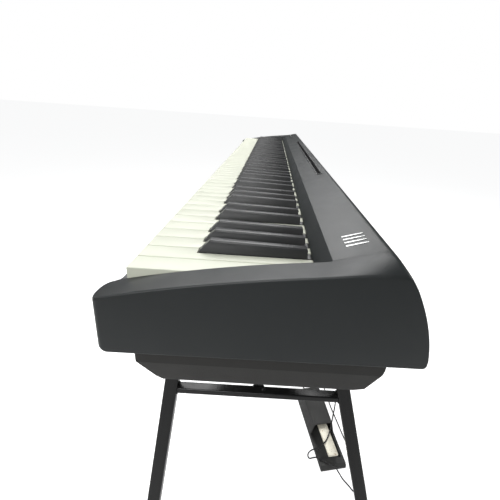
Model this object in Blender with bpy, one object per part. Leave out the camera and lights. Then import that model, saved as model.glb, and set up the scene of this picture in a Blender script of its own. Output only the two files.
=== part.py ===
"""Digital piano on a trestle stand, with a damper pedal on the floor.

Frame: metres, +Z up, +X towards the treble end, -Y towards the player. The origin is on the floor,
under the middle of the stand. Each named object is one sub-part, and each is one closed solid.
"""
import math

import bmesh
import bpy
from mathutils import Matrix, Vector

# ---------------------------------------------------------------- driving dimensions
GAP = 0.0003                    # clearance between pieces that touch

# Keyboard: 88 keys, A0 to C8
WHITE_PITCH = 0.0235
WHITE_KEYS = 52
WHITE_GAP = 0.0010
WHITE_LENGTH = 0.1535           # front edge to the step under the fallboard
WHITE_DEPTH = 0.018
KEY_TAIL = 0.200                # front edge to the hinge axis
WHITE_TAIL_DROP = 0.011         # the tail runs this far below the key top
BLACK_FRONT = 0.0501            # foot of the black key's front face, from the white key's front
BLACK_TOP_FRONT = 0.0592
BLACK_REAR = 0.1484
BLACK_HEIGHT = 0.0118
BLACK_REAR_HEIGHT = 0.0088
BLACK_FOOT_WIDTH = 0.0122
BLACK_TOP_WIDTH = 0.0095
BLACK_DEPTH = 0.014
BLACK_TAIL_TOP = 0.0005
BLACK_TAIL_BOTTOM = -0.007
NOTCH_WIDTH = 0.0142
BLACK_OFFSETS = {"C": -0.0023, "D": 0.0023, "F": -0.0034, "G": 0.0, "A": 0.0034}
KEY_TOP = 0.700                 # height of the white keys above the floor
KEY_FRONT = -0.1365             # front edge of the white keys
KEY_BLOCK_END = WHITE_PITCH * WHITE_KEYS / 2

# Case
CASE_HALF = 0.642               # half of the overall length of 1.284
WALL = 0.003
CHEEK_INNER = KEY_BLOCK_END + GAP
CASE_FRONT = -0.0165            # from the key front, at the top of the end block
CASE_FOOT_FRONT = -0.0185
CASE_FRONT_TOP = -0.0130        # from the key top
CORNER_REACH = 0.014            # how far from the ends the upright corners start to round off
FRONT_CORNER = 0.0055
REAR_CORNER = 0.0035
TOP_REACH = 0.034               # how far from the ends the panel starts to fall away
TOP_FALL = 0.0095
CASE_BOTTOM = -0.058
CHEEK_RISE = 0.244              # slope of the end block's top edge at the front
CHEEK_SAG = 0.43                # how fast that slope eases off, per metre
PANEL_FRONT = 0.163
PANEL_FRONT_TOP = 0.0174
PANEL_REAR = 0.2055
PANEL_REAR_TOP = 0.0300
LIP_FRONT = 0.1515
LIP_BOTTOM = 0.0022
REAR_FOOT = 0.2425
REAR_FOOT_TOP = -0.050
REAR_LEAN = 0.15
REAR_CURVE = 3.5
BASE_FRONT = CASE_FRONT + FRONT_CORNER + WALL    # the recess that the lower case's flange fills
BASE_REAR = REAR_FOOT - REAR_CORNER - WALL
BASE_TOP = CASE_BOTTOM + 0.0043
TUB_HALF = 0.640
TUB_TOP = CASE_BOTTOM - GAP
TUB_BOTTOM = -0.0892
TUB_CREASE = -0.0687            # below this the tub's ends slope inwards
TUB_END_FALL = 0.0040
TUB_OUTLINE = [(0.0125, TUB_TOP), (0.0125, -0.0682), (0.0153, -0.0717), (0.0264, -0.0853),
               (0.0318, TUB_BOTTOM), (0.1909, TUB_BOTTOM), (0.1999, -0.0869), (0.2105, -0.0670),
               (0.2115, -0.0625), (0.2115, TUB_TOP)]
SLIP_FRONT = -0.0060            # key slip
SLIP_REAR = -0.0015
SLIP_TOP = -0.0120
SLOT_HALF = 0.283               # half length of the music rest slot
SLOT_MIDDLE = 0.1928
SLOT_WIDTH = 0.0056
SLOT_DEPTH = 0.012
BUTTONS = {"power_button": (-0.590, 0.0095), "volume_down_button": (-0.548, 0.0120),
           "volume_up_button": (-0.526, 0.0120), "function_button": (-0.492, 0.0120),
           "piano_tone_button": (-0.466, 0.0120)}
BUTTON_BACK = 0.0205            # from the panel's front edge, along the slope
BUTTON_WIDTH = 0.0065
BUTTON_PROUD = 0.0014
BUTTON_STEM = 0.0062
JACK_MIDDLE = 0.170
JACK_SPACING = 0.0365           # the pedal jack is the one nearest the treble end
JACK_HALF = 0.060
JACK_BOTTOM = -0.046
JACK_TOP = -0.022
JACK_HOLE = 0.0068              # bore of a jack, for a plug of 6.35 mm
PLUG_SHANK = 0.00635
PLUG_BODY = 0.0095
SPEAKER_X = 0.440
SPEAKER_Y = 0.107
SPEAKER_RADIUS = 0.055
PIANO_FOOT_RADIUS = 0.011

# Stand
LEG_TUBE = 0.0238               # square tube of the legs and the top arms
BAR_WIDTH = 0.0185              # flat tube of the crossbars and the stretcher
BAR_HEIGHT = 0.0120
TUBE_WALL = 0.0015
LEG_CORNER = 0.0030
BAR_CORNER = 0.0025
CROSSBAR_HEIGHT = 0.3445
CROSSBAR_MIDDLE = -0.0230       # along Y
CROSSBAR_HALF_SPREAD = 0.1589
CROSSBAR_X = 0.3968
FRONT_SPLAY = math.tan(math.radians(7.6))
REAR_SPLAY = math.tan(math.radians(14.9))
LEG_LEAN = math.tan(math.radians(12.0))
ARM_TOP = 0.6070
ARM_FRONT = -0.178
ARM_REAR = 0.095
FOOT_HEIGHT = 0.030
FOOT_SOLE = 0.005
FOOT_SIZE = 0.0300

# Pedal, lying on the floor
PEDAL_MIDDLE = (0.2010, 0.1570)
PEDAL_TURN = math.radians(11.5)
PEDAL_LENGTH = 0.222
PEDAL_WIDTH = 0.066
PEDAL_BASE_HEIGHT = 0.016
PEDAL_HOOD_LENGTH = 0.129
PEDAL_HOOD_HEIGHT = 0.055
PEDAL_HOOD_FRONT_HALF = 0.026   # half width of the hood's top at its opening
LEVER_WIDTH = 0.026
LEVER_THICKNESS = 0.005
LEVER_TOP = 0.040
PIVOT_BACK = 0.055              # from the pedal's rear end to the lever's pivot
PIVOT_HEIGHT = 0.030
PIN_RADIUS = 0.0025
GLAND_HEIGHT = 0.0085
GLAND_LENGTH = 0.018

# Cord of the pedal: its route is a smooth curve through these points, from the plug to the gland
CORD_DIAMETER = 0.0032
CORD_STEPS = 2                  # points to each interval of the route
JACK_X = 0.2065
PLUG_END = 0.1210
CORD_ROUTE = [
    (JACK_X, PLUG_END, 0.6660), (0.2065, 0.1265, 0.6652), (0.2065, 0.1312, 0.6622), (0.2065, 0.1338, 0.6570),
    (0.2065, 0.1350, 0.6450), (0.2065, 0.1380, 0.6150), (0.2065, 0.1510, 0.5000), (0.2065, 0.1690, 0.3500),
    (0.2065, 0.1810, 0.2000), (0.2065, 0.1855, 0.1100), (0.2075, 0.1855, 0.0760), (0.2110, 0.1843, 0.0640),
    (0.2185, 0.1820, 0.0588), (0.2270, 0.1792, 0.0530), (0.2350, 0.1760, 0.0455), (0.2510, 0.1685, 0.0430),
    (0.2640, 0.1610, 0.0436), (0.2702, 0.1535, 0.0412), (0.2735, 0.1475, 0.0300), (0.2720, 0.1410, 0.0205),
    (0.2685, 0.1340, 0.0170), (0.2665, 0.1270, 0.0090), (0.2695, 0.1205, 0.0030), (0.2770, 0.1180, 0.0024),
    (0.2845, 0.1210, 0.0040), (0.2885, 0.1275, 0.0120), (0.2915, 0.1355, 0.0190), (0.2950, 0.1450, 0.0190),
    (0.2995, 0.1560, 0.0190), (0.3065, 0.1700, 0.0190), (0.3135, 0.1815, 0.0180), (0.3215, 0.1905, 0.0090),
    (0.3310, 0.1990, 0.0024), (0.3430, 0.2085, 0.0022), (0.3567, 0.2184, 0.0022), (0.3660, 0.2300, 0.0022),
    (0.3630, 0.2440, 0.0022), (0.3420, 0.2500, 0.0022), (0.3080, 0.2470, 0.0022), (0.2650, 0.2370, 0.0022),
    (0.2204, 0.2236, 0.0022), (0.1700, 0.2130, 0.0022), (0.1150, 0.2020, 0.0021), (0.0550, 0.1940, 0.0021),
    (-0.0080, 0.1800, 0.0021), (-0.0480, 0.1530, 0.0021), (-0.0560, 0.1200, 0.0021),
    (-0.0340, 0.0950, 0.0021), (0.0020, 0.0920, 0.0022), (0.0330, 0.1070, 0.0035), (0.0530, 0.1230, 0.0070),
    (0.0724, 0.1308, 0.0085)]


# ---------------------------------------------------------------- materials
def material(name, color, roughness, metallic=0.0):
    made = bpy.data.materials.new(name)
    made.use_nodes = True
    shader = made.node_tree.nodes["Principled BSDF"]
    shader.inputs["Base Color"].default_value = (*color, 1.0)
    shader.inputs["Roughness"].default_value = roughness
    shader.inputs["Metallic"].default_value = metallic
    return made


def clear_scene():
    for thing in list(bpy.data.objects):
        bpy.data.objects.remove(thing, do_unlink=True)


def make_materials():
    return {
        "case": material("case_plastic", (0.035, 0.038, 0.042), 0.45),
        "white": material("white_key", (0.90, 0.90, 0.82), 0.30),
        "black": material("black_key", (0.020, 0.020, 0.022), 0.30),
        "steel": material("black_steel", (0.012, 0.012, 0.013), 0.25, 0.4),
        "rubber": material("rubber", (0.018, 0.018, 0.018), 0.80),
        "felt": material("felt", (0.20, 0.02, 0.03), 0.95),
        "board": material("circuit_board", (0.02, 0.10, 0.04), 0.50),
        "speaker": material("speaker_paper", (0.03, 0.03, 0.03), 0.80),
        "chassis": material("chassis_resin", (0.10, 0.10, 0.10), 0.60),
        "pedal": material("pedal_plastic", (0.030, 0.030, 0.032), 0.50),
        "lever": material("lever_metal", (0.85, 0.82, 0.70), 0.15, 0.8),
        "cord": material("cord_rubber", (0.015, 0.015, 0.015), 0.60),
    }


# ---------------------------------------------------------------- mesh helpers
def finish_mesh(name, mesh_data, finish, smooth_angle=None):
    bmesh.ops.remove_doubles(mesh_data, verts=mesh_data.verts, dist=0.00001)
    bmesh.ops.recalc_face_normals(mesh_data, faces=mesh_data.faces)
    mesh = bpy.data.meshes.new(name)
    mesh_data.to_mesh(mesh)
    mesh_data.free()
    made = bpy.data.objects.new(name, mesh)
    bpy.context.scene.collection.objects.link(made)
    if finish:
        mesh.materials.append(finish)
    if smooth_angle:
        mesh.shade_smooth()
        mesh.set_sharp_from_angle(angle=math.radians(smooth_angle))
    return made


def loft(name, loops, finish, hollow=None, smooth_angle=None):
    """Solid through closed loops of equal length; hollow holds the loops of a bore right through."""
    shape = bmesh.new()
    rings = [[shape.verts.new(point) for point in loop] for loop in loops]
    bores = [[shape.verts.new(point) for point in loop] for loop in hollow or []]
    count = len(loops[0])
    for skin in (rings, bores):
        for lower, upper in zip(skin, skin[1:]):
            for i in range(count):
                j = (i + 1) % count
                shape.faces.new((lower[i], lower[j], upper[j], upper[i]))
    if bores:
        for outer, inner in ((rings[0], bores[0]), (rings[-1], bores[-1])):
            for i in range(count):
                j = (i + 1) % count
                shape.faces.new((outer[i], outer[j], inner[j], inner[i]))
    else:
        shape.faces.new(rings[0])
        shape.faces.new(rings[-1])
    return finish_mesh(name, shape, finish, smooth_angle)


def prism_x(name, outline, x_low, x_high, finish=None):
    """Outline of (y, z) points, measured from the key front and key top, extruded along X."""
    points = [(KEY_FRONT + y, KEY_TOP + z) for y, z in outline]
    return loft(name, [[(x, y, z) for y, z in points] for x in (x_low, x_high)], finish)


def prism_z(name, outline, z_low, z_high, finish=None):
    return loft(name, [[(x, y, z) for x, y in outline] for z in (z_low, z_high)], finish)


def box(name, low, high, finish=None):
    outline = [(low[0], low[1]), (high[0], low[1]), (high[0], high[1]), (low[0], high[1])]
    return prism_z(name, outline, low[2], high[2], finish)


def circle(center, radius, sides, z):
    step = 2 * math.pi / sides
    return [(center[0] + radius * math.cos(i * step), center[1] + radius * math.sin(i * step), z)
            for i in range(sides)]


def rounded_rectangle(width, height, corner, steps=3):
    """Points of a rectangle with rounded corners, about (0, 0)."""
    points = []
    for quarter in range(4):
        sign_u = (1, -1, -1, 1)[quarter]
        sign_v = (1, 1, -1, -1)[quarter]
        for step in range(steps):
            angle = math.pi / 2 * (quarter + step / (steps - 1))
            points.append((sign_u * (width / 2 - corner) + corner * math.cos(angle),
                           sign_v * (height / 2 - corner) + corner * math.sin(angle)))
    return points


def boolean(target, tool, operation):
    change = target.modifiers.new(operation.lower(), "BOOLEAN")
    change.operation = operation
    change.object = tool
    change.solver = "EXACT"
    tool.hide_render = True
    tool.display_type = "WIRE"


def cut(target, *tools):
    for tool in tools:
        boolean(target, tool, "DIFFERENCE")


def join(target, *tools):
    for tool in tools:
        boolean(target, tool, "UNION")


# ---------------------------------------------------------------- keyboard
def white_names():
    """Note letter and octave of each white key, from the bass end."""
    letters = "CDEFGAB"
    return [(letters[(i + 5) % 7], (i + 5) // 7) for i in range(WHITE_KEYS)]


def key_left(index):
    return -KEY_BLOCK_END + index * WHITE_PITCH


def black_middle(index):
    """Middle of the black key to the right of white key number index, or None."""
    letter, _ = white_names()[index]
    if index >= WHITE_KEYS - 1 or letter not in BLACK_OFFSETS:
        return None
    return key_left(index + 1) + BLACK_OFFSETS[letter]


def white_outline(first, last):
    """Plan of white keys first to last, joined behind by their rail, with slots between them."""
    front = KEY_FRONT
    notch_front = KEY_FRONT + BLACK_FRONT - 0.0012
    rail_front = KEY_FRONT + WHITE_LENGTH
    tail = KEY_FRONT + KEY_TAIL
    half_notch = NOTCH_WIDTH / 2
    half_gap = WHITE_GAP / 2
    left = key_left(first) + half_gap
    right = key_left(last + 1) - half_gap
    outline = [(left, tail)]
    before = black_middle(first - 1) if first > 0 else None
    if before is not None:
        outline += [(left, rail_front), (before + half_notch, rail_front),
                    (before + half_notch, notch_front), (left, notch_front)]
    outline.append((left, front))
    for index in range(first, last):
        edge = key_left(index + 1)
        black = black_middle(index)
        outline.append((edge - half_gap, front))
        if black is None:
            outline += [(edge - half_gap, rail_front), (edge + half_gap, rail_front)]
        else:
            outline += [(edge - half_gap, notch_front), (black - half_notch, notch_front),
                        (black - half_notch, rail_front), (black + half_notch, rail_front),
                        (black + half_notch, notch_front), (edge + half_gap, notch_front)]
        outline.append((edge + half_gap, front))
    outline.append((right, front))
    after = black_middle(last)
    if after is not None:
        outline += [(right, notch_front), (after - half_notch, notch_front),
                    (after - half_notch, rail_front), (right, rail_front)]
    outline.append((right, tail))
    return outline


def make_white(name, first, last, finish):
    key = prism_z(name, white_outline(first, last), KEY_TOP - WHITE_DEPTH, KEY_TOP, finish)
    step = box(name + "_step", (key_left(first) - 0.01, KEY_FRONT + WHITE_LENGTH, KEY_TOP - WHITE_TAIL_DROP),
               (key_left(last + 1) + 0.01, KEY_FRONT + KEY_TAIL + 0.01, KEY_TOP + 0.01))
    cut(key, step)


def black_loops(middle):
    """Cross sections in plan of one black key, from its foot to its top."""
    rear = KEY_FRONT + BLACK_REAR
    foot = BLACK_FOOT_WIDTH / 2
    top = BLACK_TOP_WIDTH / 2

    def section(half, front_y, front_z, rear_z):
        return [(middle - half, front_y, KEY_TOP + front_z), (middle + half, front_y, KEY_TOP + front_z),
                (middle + half, rear, KEY_TOP + rear_z), (middle - half, rear, KEY_TOP + rear_z)]

    return [section(foot, KEY_FRONT + BLACK_FRONT, -BLACK_DEPTH, -BLACK_DEPTH),
            section(foot, KEY_FRONT + BLACK_FRONT, 0.001, 0.001),
            section(top, KEY_FRONT + BLACK_TOP_FRONT, BLACK_HEIGHT, BLACK_REAR_HEIGHT)]


def make_black(name, middles, finish):
    """Black keys on one tail rail."""
    half = BLACK_FOOT_WIDTH / 2
    rail = box(name, (middles[0] - half, KEY_FRONT + WHITE_LENGTH + 0.003, KEY_TOP + BLACK_TAIL_BOTTOM),
               (middles[-1] + half, KEY_FRONT + KEY_TAIL, KEY_TOP + BLACK_TAIL_TOP), finish)
    for number, middle in enumerate(middles):
        body = loft(name + "_body_%d" % number, black_loops(middle), None)
        neck = box(name + "_neck_%d" % number,
                   (middle - half, KEY_FRONT + BLACK_REAR - 0.004, KEY_TOP + BLACK_TAIL_BOTTOM),
                   (middle + half, KEY_FRONT + KEY_TAIL - 0.010, KEY_TOP + BLACK_TAIL_TOP))
        join(rail, body, neck)
    return rail


def make_keys(finishes):
    """Octave 7 and C8 as single keys, the rest as two-octave banks on their rails."""
    names = white_names()
    first_single = names.index(("C", 7))
    for index in range(first_single, WHITE_KEYS):
        letter, octave = names[index]
        make_white("white_key_%s%d" % (letter, octave), index, index, finishes["white"])
        middle = black_middle(index)
        if middle is not None:
            make_black("black_key_%s_sharp_%d" % (letter, octave), [middle], finishes["black"])
    banks = {"bass": (0, names.index(("C", 3)) - 1),
             "tenor": (names.index(("C", 3)), names.index(("C", 5)) - 1),
             "alto": (names.index(("C", 5)), first_single - 1)}
    for bank, (first, last) in banks.items():
        make_white("white_key_bank_" + bank, first, last, finishes["white"])
        middles = [black_middle(i) for i in range(first, last + 1) if black_middle(i) is not None]
        make_black("black_key_bank_" + bank, middles, finishes["black"])


# ---------------------------------------------------------------- case
def cheek_top(y):
    """Height of the end block's top edge at y, from the key top."""
    along = y - CASE_FRONT
    return CASE_FRONT_TOP + CHEEK_RISE * along - CHEEK_SAG * along * along


def rear_face(z, inset=0.0):
    """Depth of the curved rear face at height z."""
    rise = max(0.0, z - REAR_FOOT_TOP)
    return REAR_FOOT - inset - REAR_LEAN * rise - REAR_CURVE * rise * rise


def panel_height(y):
    slope = (PANEL_REAR_TOP - PANEL_FRONT_TOP) / (PANEL_REAR - PANEL_FRONT)
    return PANEL_FRONT_TOP + slope * (y - PANEL_FRONT)


def corner_inset(depth, from_end):
    """How far a rounded upright corner has moved in at a distance from the end of the case."""
    left = max(0.0, 1 - from_end / CORNER_REACH)
    return depth * (1 - math.sqrt(1 - left * left))


def top_fall(from_end):
    left = max(0.0, 1 - from_end / TOP_REACH)
    return TOP_FALL * left * left


def case_outline(from_end):
    """Section of the closed case at a distance from its end, as (y, z) points."""
    front = corner_inset(FRONT_CORNER, from_end)
    rear = corner_inset(REAR_CORNER, from_end)
    fall = top_fall(from_end)
    steps = 8
    outline = [(CASE_FOOT_FRONT + front + 0.004, CASE_BOTTOM), (CASE_FOOT_FRONT + front, CASE_BOTTOM + 0.004)]
    for i in range(steps + 1):
        y = CASE_FRONT + front + (PANEL_FRONT - CASE_FRONT - front) * i / steps
        outline.append((y, cheek_top(y)))
    outline.append((PANEL_REAR - 0.003, panel_height(PANEL_REAR - 0.003) - fall))
    outline.append((rear_face(0.0265) - rear, 0.0265 - fall))
    for i in range(1, 6):
        z = 0.0265 + (REAR_FOOT_TOP - 0.0265) * i / 5
        outline.append((rear_face(z) - rear, z - fall * (z - REAR_FOOT_TOP) / (0.0265 - REAR_FOOT_TOP)))
    outline += [(REAR_FOOT - rear, CASE_BOTTOM + 0.004), (REAR_FOOT - rear - 0.004, CASE_BOTTOM)]
    return outline


def case_solid(name, finish):
    """The closed case, with its upright corners rounded and its panel falling away at both ends."""
    places = [0.0, 0.0025, 0.007, CORNER_REACH, 0.024, TOP_REACH]
    sections = [(-CASE_HALF + d, d) for d in places] + [(CASE_HALF - d, d) for d in reversed(places)]
    loops = [[(x, KEY_FRONT + y, KEY_TOP + z) for y, z in case_outline(d)] for x, d in sections]
    return loft(name, loops, finish)


def rear_cavity():
    """Space under the panel, open below and towards the keys."""
    low = CASE_BOTTOM - 0.01
    outline = [(LIP_FRONT - 0.003, low), (LIP_FRONT - 0.003, LIP_BOTTOM), (LIP_FRONT + WALL, LIP_BOTTOM),
               (PANEL_FRONT + 0.002, panel_height(PANEL_FRONT) - WALL),
               (PANEL_REAR - 0.004, panel_height(PANEL_REAR) - WALL - 0.0015)]
    for i in range(5):
        z = 0.022 + (REAR_FOOT_TOP - 0.022) * i / 4
        outline.append((rear_face(z, WALL), z))
    outline.append((REAR_FOOT - WALL, low))
    return outline


def cheek_cavity():
    """Hollow of an end block, open below."""
    low = CASE_BOTTOM - 0.01
    front = CASE_FRONT + FRONT_CORNER + WALL
    outline = [(front, low), (front, CASE_FRONT_TOP - WALL)]
    for i in range(1, 5):
        y = front + (PANEL_FRONT - front) * i / 4
        outline.append((y, cheek_top(y) - WALL))
    outline.append((PANEL_REAR - 0.010, panel_height(PANEL_REAR - 0.010) - TOP_FALL - WALL))
    for i in range(5):
        z = 0.010 + (REAR_FOOT_TOP - 0.010) * i / 4
        outline.append((rear_face(z, WALL) - 2 * REAR_CORNER, z))
    outline.append((REAR_FOOT - WALL - 2 * REAR_CORNER, low))
    return outline


def slope_frame(x, along):
    """Matrix of a frame on the panel: X along the piano, Y up the slope, Z out of the panel."""
    angle = math.atan2(PANEL_REAR_TOP - PANEL_FRONT_TOP, PANEL_REAR - PANEL_FRONT)
    foot = Vector((x, KEY_FRONT + PANEL_FRONT, KEY_TOP + PANEL_FRONT_TOP))
    return Matrix.Translation(foot) @ Matrix.Rotation(angle, 4, "X") @ Matrix.Translation((0, along, 0))


def pill(name, length, width, z_low, z_high, frame, finish=None):
    """Round-ended button shape standing on a frame."""
    ends = 5
    loops = []
    for z in (z_low, z_high):
        loop = []
        for side in (1, -1):
            for i in range(ends):
                angle = math.pi * (i / (ends - 1) - 0.5)
                loop.append(frame @ Vector((side * ((length - width) / 2 + width / 2 * math.cos(angle)),
                                            side * width / 2 * math.sin(angle), z)))
        loops.append(loop)
    return loft(name, loops, finish)


def make_upper_case(finish):
    case = case_solid("upper_case", finish)
    reach = CASE_FOOT_FRONT - 0.01
    well = prism_x("case_key_well", [(reach, CASE_BOTTOM - 0.01), (LIP_FRONT, CASE_BOTTOM - 0.01),
                                     (LIP_FRONT, LIP_BOTTOM), (PANEL_FRONT, PANEL_FRONT_TOP),
                                     (PANEL_FRONT, 0.05), (reach, 0.05)], -CHEEK_INNER, CHEEK_INNER)
    cavity = prism_x("case_cavity", rear_cavity(), -CHEEK_INNER, CHEEK_INNER)
    near = CHEEK_INNER + WALL
    far = CASE_HALF - WALL
    hollows = [prism_x("case_treble_cheek_cavity", cheek_cavity(), near, far),
               prism_x("case_bass_cheek_cavity", cheek_cavity(), -far, -near)]
    recess = prism_x("case_base_recess", [(BASE_FRONT, CASE_BOTTOM - 0.01), (BASE_REAR, CASE_BOTTOM - 0.01),
                                          (BASE_REAR, BASE_TOP), (BASE_FRONT, BASE_TOP)],
                     -CASE_HALF + WALL, CASE_HALF - WALL)
    half_trim = SLOT_WIDTH / 2 + 0.002 + GAP
    slot = prism_x("case_slot", [(SLOT_MIDDLE - half_trim, 0.010), (SLOT_MIDDLE + half_trim, 0.010),
                                 (SLOT_MIDDLE + half_trim, 0.05), (SLOT_MIDDLE - half_trim, 0.05)],
                   -SLOT_HALF - 0.002 - GAP, SLOT_HALF + 0.002 + GAP)
    jack = prism_x("case_jack_window", [(0.222, JACK_BOTTOM - GAP), (0.252, JACK_BOTTOM - GAP),
                                        (0.252, JACK_TOP + GAP), (0.222, JACK_TOP + GAP)],
                   JACK_MIDDLE - JACK_HALF - GAP, JACK_MIDDLE + JACK_HALF + GAP)
    cut(case, well, cavity, *hollows, recess, slot, jack)
    for name, (x, length) in BUTTONS.items():
        cut(case, pill("case_hole_" + name, length + 2 * GAP, BUTTON_WIDTH + 2 * GAP, -0.008, 0.008,
                       slope_frame(x, BUTTON_BACK)))
    return case


def offset_tub(outline, inset):
    """The tub's outline moved inwards by the wall."""
    middle = sum(y for y, _ in outline) / len(outline)
    half = max(y for y, _ in outline) - middle
    return [(middle + (y - middle) * (1 - inset / half), z + inset if z < TUB_TOP else 0.0)
            for y, z in outline]


def make_lower_case(finish):
    case = prism_x("lower_case", TUB_OUTLINE, -TUB_HALF, TUB_HALF, finish)
    flange_half = CASE_HALF - WALL - GAP
    low = TUB_TOP - 0.001
    high = BASE_TOP - GAP
    front = BASE_FRONT + GAP
    rear = BASE_REAR - GAP
    flange = prism_x("tub_flange", [(front, low), (rear, low), (rear, high), (front, high)],
                     -flange_half, flange_half)
    hollow_half = TUB_HALF - TUB_END_FALL - WALL
    hollow = prism_x("tub_hollow", offset_tub(TUB_OUTLINE, WALL), -hollow_half, hollow_half)
    join(case, flange)
    cut(case, hollow)
    for side in (-1, 1):
        foot_x = side * (TUB_HALF - TUB_END_FALL)
        outer_x = side * (TUB_HALF + 0.01)
        slope = [(side * TUB_HALF, TUB_CREASE), (foot_x, TUB_BOTTOM), (foot_x, TUB_BOTTOM - 0.01),
                 (outer_x, TUB_BOTTOM - 0.01), (outer_x, TUB_CREASE)]
        loops = [[(x, KEY_FRONT + y, KEY_TOP + z) for x, z in slope] for y in (0.0, 0.23)]
        cut(case, loft("tub_end_slope_%d" % side, loops, None))
        for i in range(9):
            y = SPEAKER_Y + (i - 4) * 0.0095
            half = math.sqrt(0.046 ** 2 - (y - SPEAKER_Y) ** 2)
            cut(case, prism_x("tub_grille_%d_%d" % (side, i), [(y - 0.002, -0.10), (y + 0.002, -0.10),
                                                               (y + 0.002, -0.07), (y - 0.002, -0.07)],
                              side * SPEAKER_X - half, side * SPEAKER_X + half))
    return case


def make_front_rail(finish):
    """Key slip in front of the white keys."""
    outline = [(SLIP_FRONT, BASE_TOP), (SLIP_REAR, BASE_TOP), (SLIP_REAR, SLIP_TOP),
               (SLIP_FRONT + 0.0012, SLIP_TOP), (SLIP_FRONT, SLIP_TOP - 0.0012)]
    return prism_x("front_rail", outline, -CHEEK_INNER + GAP, CHEEK_INNER - GAP, finish)


def make_chassis(finish, felt):
    """Resin keybed that the keys hinge on, standing on two ribs in the tub."""
    floor = TUB_BOTTOM + WALL + GAP
    outline = [(0.040, floor), (0.044, floor), (0.044, -0.0500), (0.170, -0.0500), (0.170, floor),
               (0.174, floor), (0.174, -0.0500), (0.2080, -0.0500), (0.2080, -0.0020), (0.2040, -0.0020),
               (0.2013, -0.0050), (0.2013, -0.0470), (0.0090, -0.0470), (0.0090, -0.0330),
               (0.0060, -0.0330), (0.0060, -0.0500), (0.040, -0.0500)]
    prism_x("key_chassis", outline, -KEY_BLOCK_END + 0.002, KEY_BLOCK_END - 0.002, finish)
    strip = [(0.0062, -0.0327), (0.0180, -0.0327), (0.0180, -0.0297), (0.0062, -0.0297)]
    prism_x("key_front_felt", strip, -KEY_BLOCK_END + 0.002, KEY_BLOCK_END - 0.002, felt)


def make_slot_trim(finish):
    """Channel that the music rest stands in."""
    half = SLOT_WIDTH / 2
    outer = half + 0.002
    top_front = panel_height(SLOT_MIDDLE - outer) + 0.0004
    top_rear = panel_height(SLOT_MIDDLE + outer) + 0.0004
    low = panel_height(SLOT_MIDDLE) - SLOT_DEPTH
    trim = prism_x("music_rest_slot", [(SLOT_MIDDLE - outer, low - 0.002), (SLOT_MIDDLE + outer, low - 0.002),
                                       (SLOT_MIDDLE + outer, top_rear), (SLOT_MIDDLE - outer, top_front)],
                   -SLOT_HALF - 0.002, SLOT_HALF + 0.002, finish)
    cut(trim, prism_x("music_rest_slot_hollow", [(SLOT_MIDDLE - half, low), (SLOT_MIDDLE + half, low),
                                                 (SLOT_MIDDLE + half, 0.05), (SLOT_MIDDLE - half, 0.05)],
                      -SLOT_HALF, SLOT_HALF))


def make_buttons(finish):
    for name, (x, length) in BUTTONS.items():
        pill(name, length, BUTTON_WIDTH, -BUTTON_STEM, BUTTON_PROUD, slope_frame(x, BUTTON_BACK), finish)


def make_boards(finish):
    """Panel board under the buttons, with one switch under each, and the jack board behind the jacks."""
    frame = slope_frame(0.0, BUTTON_BACK)
    board = box("panel_board", (-0.6065, -0.0125, -0.0125), (-0.4000, 0.0125, -0.0109), finish)
    for name, (x, _) in BUTTONS.items():
        switch = box(name + "_switch", (x - 0.003, -0.003, -0.0115),
                     (x + 0.003, 0.003, -BUTTON_STEM - 0.0018))
        join(board, switch)
    for number, x in enumerate((-0.604, -0.4045)):
        join(board, box("panel_board_post_%d" % number, (x - 0.002, 0.0080, -0.0115),
                        (x + 0.002, 0.0120, -0.0036)))
    board.matrix_world = frame
    for modifier in board.modifiers:
        modifier.object.matrix_world = frame
    face = rear_face(JACK_BOTTOM, WALL) - 0.0063
    low = BASE_TOP
    jack_board = box("jack_board", (JACK_MIDDLE - JACK_HALF, KEY_FRONT + face - 0.0016, KEY_TOP + low),
                     (JACK_MIDDLE + JACK_HALF, KEY_FRONT + face, KEY_TOP + JACK_TOP - 0.004), finish)
    cut(jack_board, *jack_bores("jack_board_bore", JACK_HOLE + 0.0004))


def jack_height():
    return KEY_TOP + (JACK_BOTTOM + JACK_TOP) / 2


def jack_bores(name, diameter):
    """Cutters along Y for the three jacks."""
    bores = []
    for number in (-1, 0, 1):
        middle = JACK_MIDDLE + number * JACK_SPACING
        loops = [[(middle + u, y, jack_height() + v) for u, v, _ in circle((0, 0), diameter / 2, 12, 0)]
                 for y in (KEY_FRONT + 0.20, KEY_FRONT + 0.26)]
        bores.append(loft("%s_%d" % (name, number + 1), loops, None))
    return bores


def make_jack_plate(finish):
    """Plate in the rear wall with the bores of the pedal jack and of two jacks beside it."""
    front = rear_face(JACK_BOTTOM, WALL) - 0.006
    outline = [(front, JACK_BOTTOM), (rear_face(JACK_BOTTOM) - 0.001, JACK_BOTTOM),
               (rear_face(JACK_TOP) - 0.001, JACK_TOP), (front, JACK_TOP)]
    plate = prism_x("jack_plate", outline, JACK_MIDDLE - JACK_HALF, JACK_MIDDLE + JACK_HALF, finish)
    cut(plate, *jack_bores("jack_plate_bore", JACK_HOLE))


def make_speakers(finish):
    """Shallow drivers that face down through the grilles."""
    floor = KEY_TOP + TUB_BOTTOM + WALL + GAP
    for name, side in (("bass_speaker", -1), ("treble_speaker", 1)):
        middle = (side * SPEAKER_X, KEY_FRONT + SPEAKER_Y)
        profile = [(SPEAKER_RADIUS, 0.0), (SPEAKER_RADIUS, 0.004), (0.040, 0.018), (0.026, 0.019),
                   (0.026, 0.028)]
        loops = [circle(middle, radius, 24, floor + z) for radius, z in profile]
        driver = loft(name, loops, finish, smooth_angle=30)
        hollow = [(0.046, -0.001), (0.046, 0.003), (0.014, 0.014)]
        cone = [circle(middle, radius, 24, floor + z) for radius, z in hollow]
        cut(driver, loft(name + "_cone", cone, None))


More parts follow.
